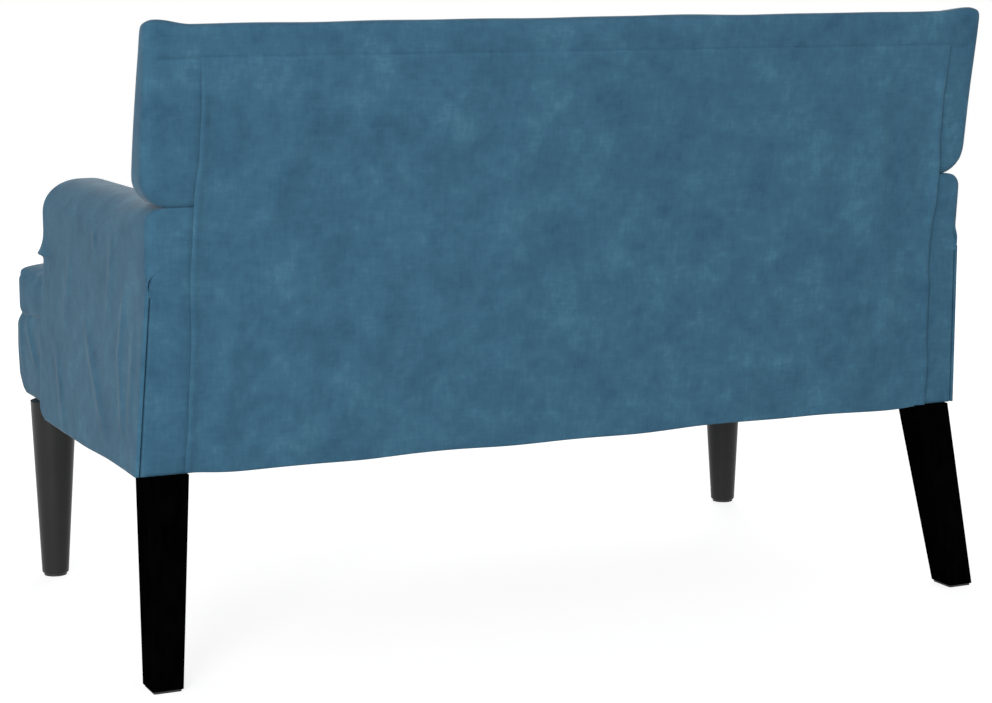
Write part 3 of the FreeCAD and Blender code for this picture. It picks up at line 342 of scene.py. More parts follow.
CAP_STEP_HEIGHT = 0.452
CAP_STEP_RISE = 0.0006
CAP_STEP_REACH = 0.060
ARM_SPACING = 0.006
TOP_RINGS = 9
ARM_SPREAD = 0.005

# Folds on the arm's outer side: start and end as (y, z), half width and height
SIDE_FOLDS = (
    ((0.100, 0.545), (0.082, 0.480), 0.007, 0.0024),
    ((0.130, 0.545), (0.118, 0.495), 0.007, 0.0020),
    ((0.212, 0.452), (0.196, 0.350), 0.007, 0.0023),
    ((0.196, 0.385), (0.222, 0.275), 0.007, 0.0025),
    ((0.045, 0.395), (0.150, 0.262), 0.009, 0.0027),
    ((0.165, 0.520), (0.140, 0.395), 0.011, 0.0015),
    ((-0.085, 0.350), (-0.030, 0.236), 0.009, 0.0017),
    ((-0.020, 0.480), (-0.050, 0.360), 0.013, 0.0013),
    ((0.255, 0.420), (0.246, 0.280), 0.009, 0.0016),
)


def side_shares(length, spacing):
    """Even inner divisions of one side, as shares of its length."""
    steps = max(2, round(length / spacing))
    return np.arange(1, steps) / steps


def ring(x0, x1, y0, y1, radii, sides, turn):
    """Rounded rectangle as points and outward directions, from the low corner and anticlockwise."""
    r0, r1, r2, r3 = np.broadcast_to(radii, 4)
    corners = ((x0 + r0, y0 + r0, r0, 180), (x1 - r1, y0 + r1, r1, 270),
               (x1 - r2, y1 - r2, r2, 0), (x0 + r3, y1 - r3, r3, 90))
    points = []
    directions = []
    for index, (x, y, radius, start) in enumerate(corners):
        angles = np.radians(start + np.linspace(0, 90, turn + 1))
        facing = np.stack([np.cos(angles), np.sin(angles)], 1)
        points.append(np.array((x, y)) + radius * facing)
        directions.append(facing)
        following = corners[(index + 1) % len(corners)]
        near = points[-1][-1]
        far = np.array(following[:2]) + following[2] * facing[-1]
        shares = sides[index][:, None]
        points.append(near + (far - near) * shares)
        directions.append(np.repeat(facing[-1:], len(shares), 0))
    return np.concatenate(points), np.concatenate(directions)


def arm_levels():
    """Heights of the arm's rings below its rounded top, close together at the cap's lower edge."""
    low = np.arange(UNDERSIDE, CAP_BOTTOM - ARM_SPACING / 2, ARM_SPACING)
    edge = CAP_BOTTOM + np.array(LIP_EDGE_STEPS)
    high = np.arange(CAP_BOTTOM + ARM_SPACING, ARM_HEIGHT - ARM_TOP_ROUND_FRONT, ARM_SPACING)
    step = CAP_STEP_HEIGHT + np.array([-CAP_STEP_RISE, CAP_STEP_RISE])
    return np.sort(np.concatenate([low, edge, high, step]))


def arm_sides(depth):
    """Divisions of the arm's four sides, with a narrow set for the slit beside the rear's outer corner."""
    width = ARM_OUTER_TOP - ARM_INNER - 2 * ARM_CORNER
    across = side_shares(width, ARM_SPACING)
    along = side_shares(depth, ARM_SPACING)
    slit = SLIT_WIDTH / width * np.array(SLIT_LINE_SHARES)
    rear = np.concatenate([slit, across[across > 2 * SLIT_WIDTH / width]])
    return across, along, rear, along


def lip_flare(z):
    """Share of the lip's reach at a height, from its crisp lower edge to nothing at its top."""
    rise = np.clip((z - CAP_BOTTOM) / LIP_HEIGHT, 0, 1)
    return np.where(z < CAP_BOTTOM, 0, (1 - rise) ** 2)


def slit_open(z):
    """1 where the side panel's rear edge is open, falling to 0 at the slit's top."""
    return 1 - smooth_step(z, SLIT_TOP - SLIT_FADE, SLIT_TOP)


def arm_ring(z, sides):
    """One level ring of the arm, before folds: points and outward directions."""
    rear = rear_y(z) - REAR_STEP
    foot = np.clip(1 - (z - UNDERSIDE) / ARM_FOOT_RISE, 0, 1)
    front = ARM_FRONT_Y + ARM_FOOT_RUN * (1 - math.sqrt(1 - foot ** 2))
    rear_corner = ARM_REAR_CORNER + (ARM_SLIT_CORNER - ARM_REAR_CORNER) * slit_open(z)
    radii = (ARM_CORNER, ARM_FRONT_CORNER, rear_corner, ARM_CORNER)
    points, facing = ring(ARM_INNER, outer_x(z), front, rear, radii, sides, ARM_TURN_STEPS)
    flare = lip_flare(z)
    near_front = 1 - smooth_step(points[:, 1], ARM_FRONT_Y, ARM_FRONT_Y + LIP_SIDE_RUN)
    points[:, 1] += np.minimum(facing[:, 1], 0) * LIP_REACH * flare
    points[:, 0] += np.maximum(facing[:, 0], 0) * LIP_SIDE * flare * near_front
    return points, facing


def arm_upholstery(name):
    """Padded arm: leaning sides, a cap with a front lip, a rounded top and a slit at the rear corner."""
    sides = arm_sides(rear_y(UNDERSIDE) - ARM_FRONT_Y)
    loops = []
    for z in arm_levels():
        points, facing = arm_ring(z, sides)
        loops.append(np.column_stack([dressed_side(points, facing, z), np.full(len(points), z)]))
    loops += arm_top(sides)
    piece = skinned(name, loops)
    drop_hem(piece)
    return shade_smooth(subdivided(piece))


def dressed_side(points, facing, z):
    """Adds the outer side's folds, the cap's step and the slit to one ring of the arm."""
    points = points.copy()
    y = points[:, 1]
    level = np.full(len(y), z)
    push = np.zeros(len(y))
    for start, end, width, height in SIDE_FOLDS:
        push += height * ridge(y, level, start, end, width)
    push *= np.clip((y.max() - y) / ARM_CORNER, 0, 1)
    push += CAP_STEP * smooth_step(y, y.max() - CAP_STEP_REACH, y.max()) * (z < CAP_STEP_HEIGHT)
    into = points[:, 0].max() - ARM_SLIT_CORNER - points[:, 0]
    first, last = SLIT_WIDTH * np.array(SLIT_SPAN_SHARES)
    slit = (facing[:, 1] > REAR_FACING_SHARE) & (into > first) & (into < last)
    points[:, 0] += push * np.maximum(facing[:, 0], 0)
    points[:, 1] -= SLIT_DEPTH * slit_open(z) * slit
    return points


def arm_top(sides):
    """Rings of the rounded top, fuller at the front than at the rear, where they keep to the rear line."""
    start = ARM_HEIGHT - ARM_TOP_ROUND_FRONT
    rear = rear_y(start) - REAR_STEP
    run = rear - ARM_FRONT_Y
    points = arm_ring(start, sides)[0]
    middle = (ARM_INNER + ARM_OUTER_TOP) / 2
    half = (ARM_OUTER_TOP - ARM_INNER) / 2
    share = smooth_step(points[:, 1], ARM_TOP_EASE_Y, rear)
    outer = smooth_step(points[:, 0], middle - half / 2, middle + half / 2)
    radius = ARM_TOP_ROUND_FRONT + (ARM_TOP_ROUND_REAR - ARM_TOP_ROUND_FRONT) * share * outer
    loops = []
    for turn in np.linspace(0, math.pi / 2, TOP_RINGS):
        level = start + (ARM_HEIGHT - start) * math.sin(turn)
        level = np.maximum(level, ARM_HEIGHT - radius + radius * math.sin(turn))
        inset = radius * (1 - math.cos(turn))
        x = middle + (points[:, 0] - middle) * (1 - inset / half)
        y = rear + (points[:, 1] - rear) * (1 - ARM_TOP_ROUND_FRONT * (1 - math.cos(turn)) / run)
        lean = (rear_y(level) - rear_y(start)) * share
        loops.append(np.column_stack([x, y + lean, level]))
    return loops


def drop_hem(piece):
    """Lets the lower edge hang a little lower towards the front, as loose cloth does."""
    points = points_of(piece)
    near_edge = 1 - smooth_step(points[:, 2], UNDERSIDE, UNDERSIDE + HEM_RISE)
    forward = 1 - smooth_step(points[:, 1], HEM_LOOSE_Y, HEM_FIRM_Y)
    points[:, 2] -= HEM_DROP * near_edge * forward
    set_points(piece, points)


def mirrored_arm(piece, name):
    """The right-hand twin of the left arm, a little fuller on its outer side."""
    twin = piece.copy()
    twin.name = name
    twin.data = piece.data.copy()
    points = points_of(twin)
    share = np.clip((points[:, 0] - ARM_INNER) / (ARM_OUTER_TOP - ARM_INNER), 0, 1)
    points[:, 0] += ARM_SPREAD * share
    points[:, 0] *= -1
    set_points(twin, points)
    twin.data.flip_normals()
    bpy.context.scene.collection.objects.link(twin)
    return twin


# Seat apron and cushion

APRON_BULGE = 0.014
APRON_SIDE_BULGE = 0.005
APRON_CORNER = 0.012
APRON_DRAW_SHARES = ((0.0, 1.0), (0.08, 0.45), (0.25, 0.08), (0.55, 0.0), (0.85, 0.15), (1.0, 1.0))
APRON_SPACING = 0.006
APRON_TURN_STEPS = 6
APRON_RIPPLE = 0.0010
APRON_RIPPLE_LENGTH = 0.10

# Folds on the apron's two ends as (y, z) and on its front as (x, z), with half width and height
APRON_END_FOLDS = (
    ((-0.290, 0.356), (-0.226, 0.284), 0.007, 0.0032),
    ((-0.312, 0.350), (-0.300, 0.262), 0.009, 0.0018),
    ((-0.215, 0.352), (-0.190, 0.290), 0.008, 0.0016),
)
APRON_FRONT_FOLDS = (
    ((-0.500, 0.354), (-0.452, 0.272), 0.009, 0.0026),
    ((0.496, 0.354), (0.455, 0.280), 0.009, 0.0024),
    ((-0.330, 0.352), (-0.300, 0.296), 0.012, 0.0014),
    ((0.120, 0.352), (0.146, 0.290), 0.012, 0.0014),
    ((0.310, 0.352), (0.290, 0.286), 0.011, 0.0014),
    ((-0.060, 0.352), (-0.090, 0.300), 0.012, 0.0012),
)

CUSHION_SLACK = 0.002
CUSHION_ROUND = 0.010
CUSHION_CORNER = 0.008
CUSHION_SPACING = 0.02
CUSHION_ROUND_STEPS = 5
CUSHION_TURN_STEPS = 6
CUSHION_EDGE = 0.413
CROWN_RISE = 0.015
CROWN_RUN = 0.14
CROWN_OVERLAP = 0.06
EAR_SPREAD = 0.003
CUSHION_REAR_Y = 0.172
CUSHION_VOXEL = 0.005
CUSHION_PRESSURE = 4.0
CUSHION_CAP = 0.009
SEAM_HEIGHT = 0.404
SEAM_DEPTH = 0.0022
SEAM_WIDTH = 0.0034
SEAM_FACING_SHARES = (0.3, 0.7)
SEAM_PUCKER_SHARE = 0.35
SEAM_PUCKER_LENGTH = 0.030


def seat_apron(name):
    """Padded band below the cushion, fullest above its middle, with folds pulled from the crease."""
    rise = CREASE_HEIGHT - UNDERSIDE
    rear = ARM_FRONT_Y + ARM_CORNER
    width = 2 * (EAR_HALF - APRON_CORNER)
    run = rear - FRONT_Y - 2 * APRON_CORNER
    across = side_shares(width, APRON_SPACING)
    along = side_shares(run, APRON_SPACING)
    sides = (across, along, across, along)
    loops = []
    for share in np.linspace(0, 1, round(rise / APRON_SPACING)):
        z = UNDERSIDE + rise * share
        draw = eased(APRON_DRAW_SHARES, share)
        half = EAR_HALF - APRON_SIDE_BULGE * draw
        front = FRONT_Y + APRON_BULGE * draw
        points, facing = ring(-half, half, front, rear, APRON_CORNER, sides, APRON_TURN_STEPS)
        level = np.full(len(points), z)
        push = np.zeros(len(points))
        for start, end, spread, height in APRON_END_FOLDS:
            push += height * ridge(points[:, 1], level, start, end, spread) * np.abs(facing[:, 0])
        for start, end, spread, height in APRON_FRONT_FOLDS:
            fold = ridge(points[:, 0], level, start, end, spread)
            push += height * fold * np.maximum(-facing[:, 1], 0)
        loops.append(np.column_stack([points + facing * push[:, None], level]))
    piece = skinned(name, loops)
    points = points_of(piece)
    uneven = APRON_RIPPLE * ripples(points, APRON_RIPPLE_LENGTH, count=8, seed=11)
    set_points(piece, points + normals_of(piece) * uneven[:, None])
    return shade_smooth(subdivided(piece))


def cushion_block(name, half, front, rear):
    """Plain rounded block that the cloth simulation swells into part of the cushion."""
    sides = (side_shares(half, CUSHION_SPACING), side_shares(rear - front, CUSHION_SPACING)) * 2
    low = SEAT_BOTTOM + CUSHION_SLACK / 2
    loops = []
    for rise, inset in rounded_ends(CUSHION_EDGE - low, CUSHION_ROUND, CUSHION_ROUND, CUSHION_ROUND_STEPS):
        points = ring(-half + inset, half - inset, front + inset, rear - inset, CUSHION_CORNER, sides,
                      CUSHION_TURN_STEPS)[0]
        loops.append(np.column_stack([points, np.full(len(points), low + rise)]))
    return skinned(name, loops)


def seat_cushion(name):
    """T-shaped cushion, swollen by a cloth simulation and held by the arms, the back and the apron."""
    front = SEAT_FRONT_Y - EAR_SPREAD
    ears = cushion_block("ears", EAR_HALF + EAR_SPREAD, front, ARM_FRONT_Y - CUSHION_SLACK / 2)
    middle = cushion_block("middle", PAD_HALF - CUSHION_SLACK / 2, front + CUSHION_CORNER,
                           CUSHION_REAR_Y - CUSHION_SLACK / 2)
    piece = remeshed(joined(name, [ears, middle]), CUSHION_VOXEL)
    crown_cushion(piece)
    swollen(piece, CUSHION_PRESSURE, CUSHION_CAP)
    points = points_of(piece)
    points[:, 2] = np.maximum(points[:, 2], SEAT_BOTTOM)
    behind = points[:, 1] > ARM_FRONT_Y - CUSHION_SLACK
    points[behind, 0] = np.clip(points[behind, 0], -PAD_HALF, PAD_HALF)
    points[:, 1] = np.minimum(points[:, 1], CUSHION_REAR_Y)
    beside = np.abs(points[:, 0]) > PAD_HALF
    points[beside, 1] = np.minimum(points[beside, 1], ARM_FRONT_Y)
    set_points(piece, points)
    subdivided(piece)
    sew_edge(piece)
    return shade_smooth(piece)


def crown_cushion(piece):
    """Raises the cushion's top between the arms and behind its front edge."""
    points = points_of(piece)
    inward = smooth_step(PAD_HALF + CROWN_OVERLAP - np.abs(points[:, 0]), 0, CROWN_RUN)
    back = smooth_step(points[:, 1] - SEAT_FRONT_Y, 0, CROWN_RUN)
    upper = smooth_step(points[:, 2], SEAT_BOTTOM, CUSHION_EDGE)
    points[:, 2] += CROWN_RISE * inward * back * upper
    set_points(piece, points)


def sew_edge(piece):
    """Draws in a seam round the cushion's upper edge."""
    points = points_of(piece)
    normals = normals_of(piece)
    level = np.hypot(normals[:, 0], normals[:, 1])
    band = np.exp(-((points[:, 2] - SEAM_HEIGHT) / SEAM_WIDTH) ** 2)
    band *= smooth_step(level, *SEAM_FACING_SHARES)
    pucker = 1 + SEAM_PUCKER_SHARE * ripples(points, SEAM_PUCKER_LENGTH, count=5, seed=7)
    set_points(piece, points - normals * (SEAM_DEPTH * band * pucker)[:, None])


# Back with buttoned front

WING_REAR_ROUND = 0.009
WING_FRONT_ROUND = 0.034
WING_TOP_CORNER = 0.009
WING_LOW_CORNER = 0.036
WING_TAPER = 8.0
WING_TAPER_LOW_START = 0.044
WING_TAPER_HIGH_START = 0.016
TOP_SLACK = 0.0040
TOP_TILT_SHARE = 0.0065
TOP_FALL_SHARE = 0.10
EAR_START = 0.500
EAR_END = 0.540
RIGHT_EAR_LIFT = 0.003
LEFT_EAR_LIFT = -0.0020
TOP_CHANGE_START = 0.69
TOP_CHANGE_END = 0.75
PAD_NEAR = 0.0185
PAD_REAR_ROUND = 0.004
PAD_FRONT_ROUND = 0.046
PAD_CORNER = 0.028
PAD_BOTTOM = 0.351
PAD_TOP = 0.755
BACK_VOXEL = 0.005
BLOCK_SPACING_ACROSS = 0.03
BLOCK_SPACING_UP = 0.01
BLOCK_LEAST_CORNER = 0.004
BLOCK_ROUND_STEPS = 7
BLOCK_TURN_STEPS = 8
BACK_RIPPLE = 0.0008
BACK_RIPPLE_LENGTH = 0.11
TUFT_NEAR = 0.060
TUFT_FAR = 0.085
TUFT_FACING_SHARES = (0.1, 0.5)
TUFT_BLEND_POWER = 3
TUFT_PIT_WIDTH = 0.026
PLEAT_DEPTH = 0.017
PLEAT_WIDTH = 0.0105
PLEAT_END_SHARE = 0.25
REAR_SEAM_DEPTH = 0.0016
REAR_SEAM_END = 0.011
REAR_SEAM_WIDTH = 0.0026
REAR_SEAM_NEAR = 0.008
REAR_SEAM_FAR = 0.016


def upright_block(name, half, low, high, near, far, rounds, corners):
    """Block that leans with the rear line, rounded behind and in front by different radii."""
    sides = (side_shares(2 * half, BLOCK_SPACING_ACROSS), side_shares(high - low, BLOCK_SPACING_UP)) * 2
    lower, upper = corners
    radii = np.array((lower, lower, upper, upper))
    loops = []
    for distance, inset in rounded_ends(far - near, rounds[0], rounds[1], BLOCK_ROUND_STEPS):
        turned = np.maximum(radii - inset, BLOCK_LEAST_CORNER)
        flat = ring(inset - half, half - inset, low + inset, high - inset, turned, sides,
                    BLOCK_TURN_STEPS)[0]
        lean = rear_y(flat[:, 1]) - near - distance
        loops.append(np.column_stack([flat[:, 0], lean, flat[:, 1]]))
    return skinned(name, loops)


def tuft_places():
    """Button positions as x and height, row by row."""
    rows = []
    for row, count in enumerate(TUFT_COUNTS):
        height = TUFT_TOP_HEIGHT - row * TUFT_ROW_STEP
        middle = (count - 1) / 2
        rows.append([((index - middle) * TUFT_COLUMN_STEP, height) for index in range(count)])
    return rows


def pleat_lines():
    """Folds between neighbouring buttons, and from the outer buttons to the pad's edges: two ends each,
    and the share of the depth that is left at the second end."""
    rows = tuft_places()
    lines = []
    for upper, lower in zip(rows, rows[1:]):
        for start in upper:
            for end in lower:
                if abs(start[0] - end[0]) < TUFT_COLUMN_STEP:
                    lines.append((start, end, 1.0))
    reach = TUFT_COLUMN_STEP / 2
    for side in (-1, 1):
        edge = (side * (abs(rows[0][0][0]) + reach), rows[1][0][1])
        for row in (rows[0], rows[-1]):
            lines.append(((side * abs(row[0][0]), row[0][1]), edge, PLEAT_END_SHARE))
    for place in rows[0]:
        lines.append((place, (place[0], PAD_TOP), PLEAT_END_SHARE))
    for place in rows[-1]:
        lines.append((place, (place[0], SEAT_HEIGHT - TUFT_DEPTH), PLEAT_END_SHARE))
    return lines


def tuft_pull(x, z):
    """How far the buttons and the pleats between them draw the pad in."""
    pits = np.zeros(len(x))
    for row in tuft_places():
        for place in row:
            away = np.maximum(np.hypot(x - place[0], z - place[1]) - BUTTON_RADIUS, 0)
            pits = np.maximum(pits, TUFT_DEPTH * np.exp(-away / TUFT_PIT_WIDTH))
    pleats = np.zeros(len(x))
    for start, end, end_share in pleat_lines():
        span = np.array(end) - np.array(start)
        length = np.hypot(*span)
        travel = ((x - start[0]) * span[0] + (z - start[1]) * span[1]) / length ** 2
        held = np.clip(travel, 0, 1)
        aside = np.hypot(x - start[0] - span[0] * held, z - start[1] - span[1] * held)
        depth = PLEAT_DEPTH * (1 + (end_share - 1) * held)
        pleats = np.maximum(pleats, depth * np.exp(-aside / PLEAT_WIDTH))
    return (pits ** TUFT_BLEND_POWER + pleats ** TUFT_BLEND_POWER) ** (1 / TUFT_BLEND_POWER)


def back_upholstery(name):
    """Padded back: a bar with wings over the arms, and a buttoned pad between them."""
    wings = upright_block("wings", WING_HALF, WING_BOTTOM, BENCH_HEIGHT, REAR_STEP, WING_THICKNESS,
                          (WING_REAR_ROUND, WING_FRONT_ROUND), (WING_LOW_CORNER, WING_TOP_CORNER))
    pad = upright_block("pad", PAD_HALF, PAD_BOTTOM, PAD_TOP, PAD_NEAR, PAD_THICKNESS,
                        (PAD_REAR_ROUND, PAD_FRONT_ROUND), (PAD_CORNER, PAD_CORNER))
    piece = subdivided(remeshed(joined(name, [wings, pad]), BACK_VOXEL))
    taper_wings(piece)
    points = points_of(piece)
    normals = normals_of(piece)
    points += normals * (BACK_RIPPLE * ripples(points, BACK_RIPPLE_LENGTH, count=10, seed=3))[:, None]
    depth = rear_y(points[:, 2]) - points[:, 1]
    front = smooth_step(depth, TUFT_NEAR, TUFT_FAR) * smooth_step(-normals[:, 1], *TUFT_FACING_SHARES)
    points[:, 1] += front * tuft_pull(points[:, 0], points[:, 2])
    behind = 1 - smooth_step(depth, REAR_SEAM_NEAR, REAR_SEAM_FAR)
    behind *= smooth_step(WING_HALF - np.abs(points[:, 0]), REAR_SEAM_END, 2 * REAR_SEAM_END)
    points[:, 1] -= REAR_SEAM_DEPTH * behind * np.exp(-((points[:, 2] - FLAP_TOP) / REAR_SEAM_WIDTH) ** 2)
    set_points(piece, points)
    return shade_smooth(piece)


def taper_wings(piece):
    """Draws the wings in towards their front, and slackens the top edge between its two ends."""
    points = points_of(piece)
    side = np.abs(points[:, 0])
    depth = rear_y(points[:, 2]) - points[:, 1]
    height = np.clip((points[:, 2] - WING_BOTTOM) / (BENCH_HEIGHT - WING_BOTTOM), 0, 1)
    start = WING_TAPER_LOW_START + (WING_TAPER_HIGH_START - WING_TAPER_LOW_START) * height
    reach = np.clip((side - PAD_HALF) / (WING_HALF - PAD_HALF), 0, 1)
    points[:, 0] -= np.sign(points[:, 0]) * WING_TAPER * np.maximum(depth - start, 0) ** 2 * reach
    ear = smooth_step(side, EAR_START, EAR_END)
    lift = np.where(points[:, 0] < 0, RIGHT_EAR_LIFT, LEFT_EAR_LIFT)
    slack = TOP_SLACK + TOP_TILT_SHARE * points[:, 0]
    change = lift * ear - slack * (1 - ear) - TOP_FALL_SHARE * np.maximum(depth - WING_REAR_ROUND, 0)
    points[:, 2] += change * smooth_step(points[:, 2], TOP_CHANGE_START, TOP_CHANGE_END)
    set_points(piece, points)


BUTTON_HEIGHT = 0.0085
BUTTON_SEGMENTS = 32
BUTTON_RINGS = 7
BUTTON_DOME_SHARE = 0.97
BUTTON_DOME_POWER = 0.7
BUTTON_PLEATS = 8
BUTTON_PLEAT_SHARE = 0.012


def tuft_buttons(name):
    """Domed, cloth-covered buttons, one in each tuft."""
    parts = []
    turns = np.linspace(0, 2 * math.pi, BUTTON_SEGMENTS, endpoint=False)
    for row in tuft_places():
        for x, z in row:
            seat = rear_y(z) - (PAD_THICKNESS - TUFT_DEPTH)
            loops = []
            for rise in np.linspace(0, 1, BUTTON_RINGS):
                angle = rise * math.pi / 2 * BUTTON_DOME_SHARE
                pleats = 1 + BUTTON_PLEAT_SHARE * np.cos(BUTTON_PLEATS * turns) * (1 - rise)
                radius = BUTTON_RADIUS * math.cos(angle) ** BUTTON_DOME_POWER * pleats
                level = np.full(len(turns), seat - BUTTON_HEIGHT * math.sin(angle))
                loops.append(np.column_stack([x + radius * np.cos(turns), level,
                                              z + radius * np.sin(turns)]))
            parts.append(skinned("button", loops))
    return shade_smooth(subdivided(joined(name, parts)))


# Loose rear panel

PANEL_THICKNESS = 0.0022
PANEL_SPACING = 0.004

# Side edges of the panel as (height, distance from the middle)
PANEL_LEFT_EDGE = ((0.236, 0.506), (0.310, 0.502), (0.400, 0.499), (0.466, 0.5005), (0.520, 0.498),
                   (0.556, 0.4965), (0.610, 0.4915), (0.660, 0.4905), (0.716, 0.4910))
PANEL_RIGHT_EDGE = ((0.236, 0.518), (0.300, 0.517), (0.330, 0.5125), (0.400, 0.510), (0.425, 0.506),
                    (0.470, 0.5065), (0.520, 0.512), (0.556, 0.513), (0.600, 0.5075), (0.650, 0.506),
                    (0.716, 0.510))

# Hem, loose cloth and seam of the panel
PANEL_HEM_WIDTH = 0.0045
PANEL_HEM_RISE = 0.0010
PANEL_FLARE = 0.0030
PANEL_FLARE_WIDTH = 0.012
PANEL_LEAST = -0.0004
PANEL_FOOT = 0.2375
PANEL_END_RISE = 0.0030
PANEL_END_WIDTH = 0.045
PANEL_EDGE_SHARES = (0.0, 0.0012, 0.0024)
PANEL_WAVE = 0.0016
PANEL_WAVE_LENGTH = 0.16
PANEL_WAVE_RISE = 0.10
PANEL_RIPPLE = 0.0006
PANEL_RIPPLE_LENGTH = 0.09
PANEL_UPRIGHT_SHARE = 0.4
PANEL_SEWN_RUN = 0.05
PANEL_SEAM = 0.0035
PANEL_SEAM_SHARES = (0.25, 0.6, 1.0)

# Folds of the loose panel: start and end as (x, z), half width and height
PANEL_FOLDS = (
    ((0.362, 0.650), (0.420, 0.505), 0.014, 0.0030),
    ((0.300, 0.560), (0.372, 0.430), 0.016, 0.0016),
    ((0.440, 0.440), (0.462, 0.260), 0.012, 0.0018),
    ((0.458, 0.700), (0.446, 0.560), 0.010, 0.0014),
    ((0.250, 0.420), (0.330, 0.262), 0.020, 0.0014),
    ((-0.408, 0.690), (-0.430, 0.480), 0.013, 0.0020),
    ((-0.452, 0.640), (-0.470, 0.500), 0.010, 0.0018),
    ((-0.438, 0.470), (-0.452, 0.270), 0.012, 0.0018),
    ((-0.330, 0.600), (-0.360, 0.380), 0.018, 0.0014),
    ((-0.120, 0.480), (-0.090, 0.270), 0.022, 0.0012),
    ((0.080, 0.400), (0.120, 0.262), 0.022, 0.0012),
)


def rear_panel(name):
    """Hanging cloth panel over the back's rear, sewn in along its top, with loose side edges."""
    steps = round((FLAP_TOP - PANEL_FOOT) / PANEL_SPACING)
    sewn = FLAP_TOP + PANEL_SEAM * np.array(PANEL_SEAM_SHARES)
    heights = np.concatenate([np.linspace(PANEL_FOOT, FLAP_TOP, steps), sewn])
    even = np.linspace(0, 1, round(2 * PAD_HALF / PANEL_SPACING))
    edge = np.array(PANEL_EDGE_SHARES)
    shares = np.concatenate([edge, even[1:-1], 1 - edge[::-1]])
    rows = len(heights)
    columns = len(shares)
    z = np.repeat(heights, columns)
    share = np.tile(shares, rows)
    left = eased(PANEL_LEFT_EDGE, z)
    right = eased(PANEL_RIGHT_EDGE, z)
    x = -right + (left + right) * share
    from_edge = np.minimum(left - x, x + right)
    out = panel_lift(x, z, from_edge)
    hem = PANEL_WAVE * ripples(np.column_stack([x, 0 * x, 0 * x]), PANEL_WAVE_LENGTH, count=5, seed=21)
    hem += PANEL_END_RISE * np.exp(-(from_edge / PANEL_END_WIDTH) ** 2)
    hung = z + hem * (1 - smooth_step(z, UNDERSIDE, UNDERSIDE + PANEL_WAVE_RISE))
    points = np.column_stack([x, rear_y(z) - PANEL_THICKNESS + out, hung])
    piece = new_object(name, points, grid_faces(rows, columns, False))
    thicken = piece.modifiers.new("thicken", "SOLIDIFY")
    thicken.thickness = PANEL_THICKNESS
    thicken.offset = 0
    baked(piece)
    tidy_mesh(piece)
    return shade_smooth(subdivided(piece))


def panel_lift(x, z, from_edge):
    """How far the panel stands off the back: folds, a rolled hem, and cloth that is loose below."""
    out = np.zeros(len(x))
    for start, end, width, height in PANEL_FOLDS:
        out += height * ridge(x, z, start, end, width)
    hem = np.exp(-((from_edge - PANEL_HEM_WIDTH) / (PANEL_HEM_WIDTH / 2)) ** 2)
    loose = 1 - smooth_step(z, FLAP_TOP - PANEL_SEWN_RUN, FLAP_TOP)
    out += PANEL_HEM_RISE * hem * loose
    spots = np.column_stack([x, 0 * x, z * PANEL_UPRIGHT_SHARE])
    out += PANEL_RIPPLE * ripples(spots, PANEL_RIPPLE_LENGTH, count=8, seed=5) * loose
    out += PANEL_FLARE * np.exp(-(from_edge / PANEL_FLARE_WIDTH) ** 2) * loose
    sewn = smooth_step(z, FLAP_TOP, FLAP_TOP + PANEL_SEAM)
    return np.maximum(out, PANEL_LEAST) - (REAR_STEP - PANEL_THICKNESS / 2) * sewn


# Underside cloth

UNDERSIDE_SPACING = 0.010
UNDERSIDE_SAG = 0.0012
UNDERSIDE_THICKNESS = 0.0008
UNDERSIDE_RIPPLE = 0.0003
UNDERSIDE_RIPPLE_LENGTH = 0.07
LEG_TOP_REACH = 0.036
LEG_TOP_SLICE = 0.004


def underside_cloth(name):
    """Thin black cloth under the seat, cut out round the four legs."""
    low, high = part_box("dust_cover")
    columns = round((high.x - low.x) / UNDERSIDE_SPACING)
    rows = round((high.y - low.y) / UNDERSIDE_SPACING)
    x = np.tile(np.linspace(low.x, high.x, columns), rows)
    y = np.repeat(np.linspace(low.y, high.y, rows), columns)
    bounds = (x - low.x) * (high.x - x) * (y - low.y) * (high.y - y)
    sag = UNDERSIDE_SAG * bounds / bounds.max()
    spread = np.column_stack([x, y, 0 * x])
    uneven = UNDERSIDE_RIPPLE * ripples(spread, UNDERSIDE_RIPPLE_LENGTH, count=6, seed=9)
    z = low.z + UNDERSIDE_THICKNESS - sag + uneven
    spots = np.column_stack([x, y])
    legs = leg_places()
    faces = []
    for face in grid_faces(rows, columns, False):
        away = np.abs(spots[list(face)].mean(0) - legs).max(1)
        if away.min() > LEG_TOP_REACH:
            faces.append(face)
    piece = new_object(name, np.column_stack([x, y, z]), faces)
    thicken = piece.modifiers.new("thicken", "SOLIDIFY")
    thicken.thickness = UNDERSIDE_THICKNESS
    baked(piece)
    tidy_mesh(piece)
    return shade_smooth(piece)


def leg_places():
    """Middle of each leg's top, as x and y."""
    places = []
    for node in ("left_front_leg", "right_front_leg", "left_rear_leg", "right_rear_leg"):
        points = points_of(frame["nodes"][node])
        top = points[points[:, 2] > points[:, 2].max() - LEG_TOP_SLICE]
        places.append((top[:, :2].min(0) + top[:, :2].max(0)) / 2)
    return np.array(places)


# Materials

def linear(*levels):
    """Linear colour from the 0 to 255 levels of a screen colour."""
    shares = [level / 255 for level in levels]
    return [s / 12.92 if s < 0.04045 else ((s + 0.055) / 1.055) ** 2.4 for s in shares] + [1]


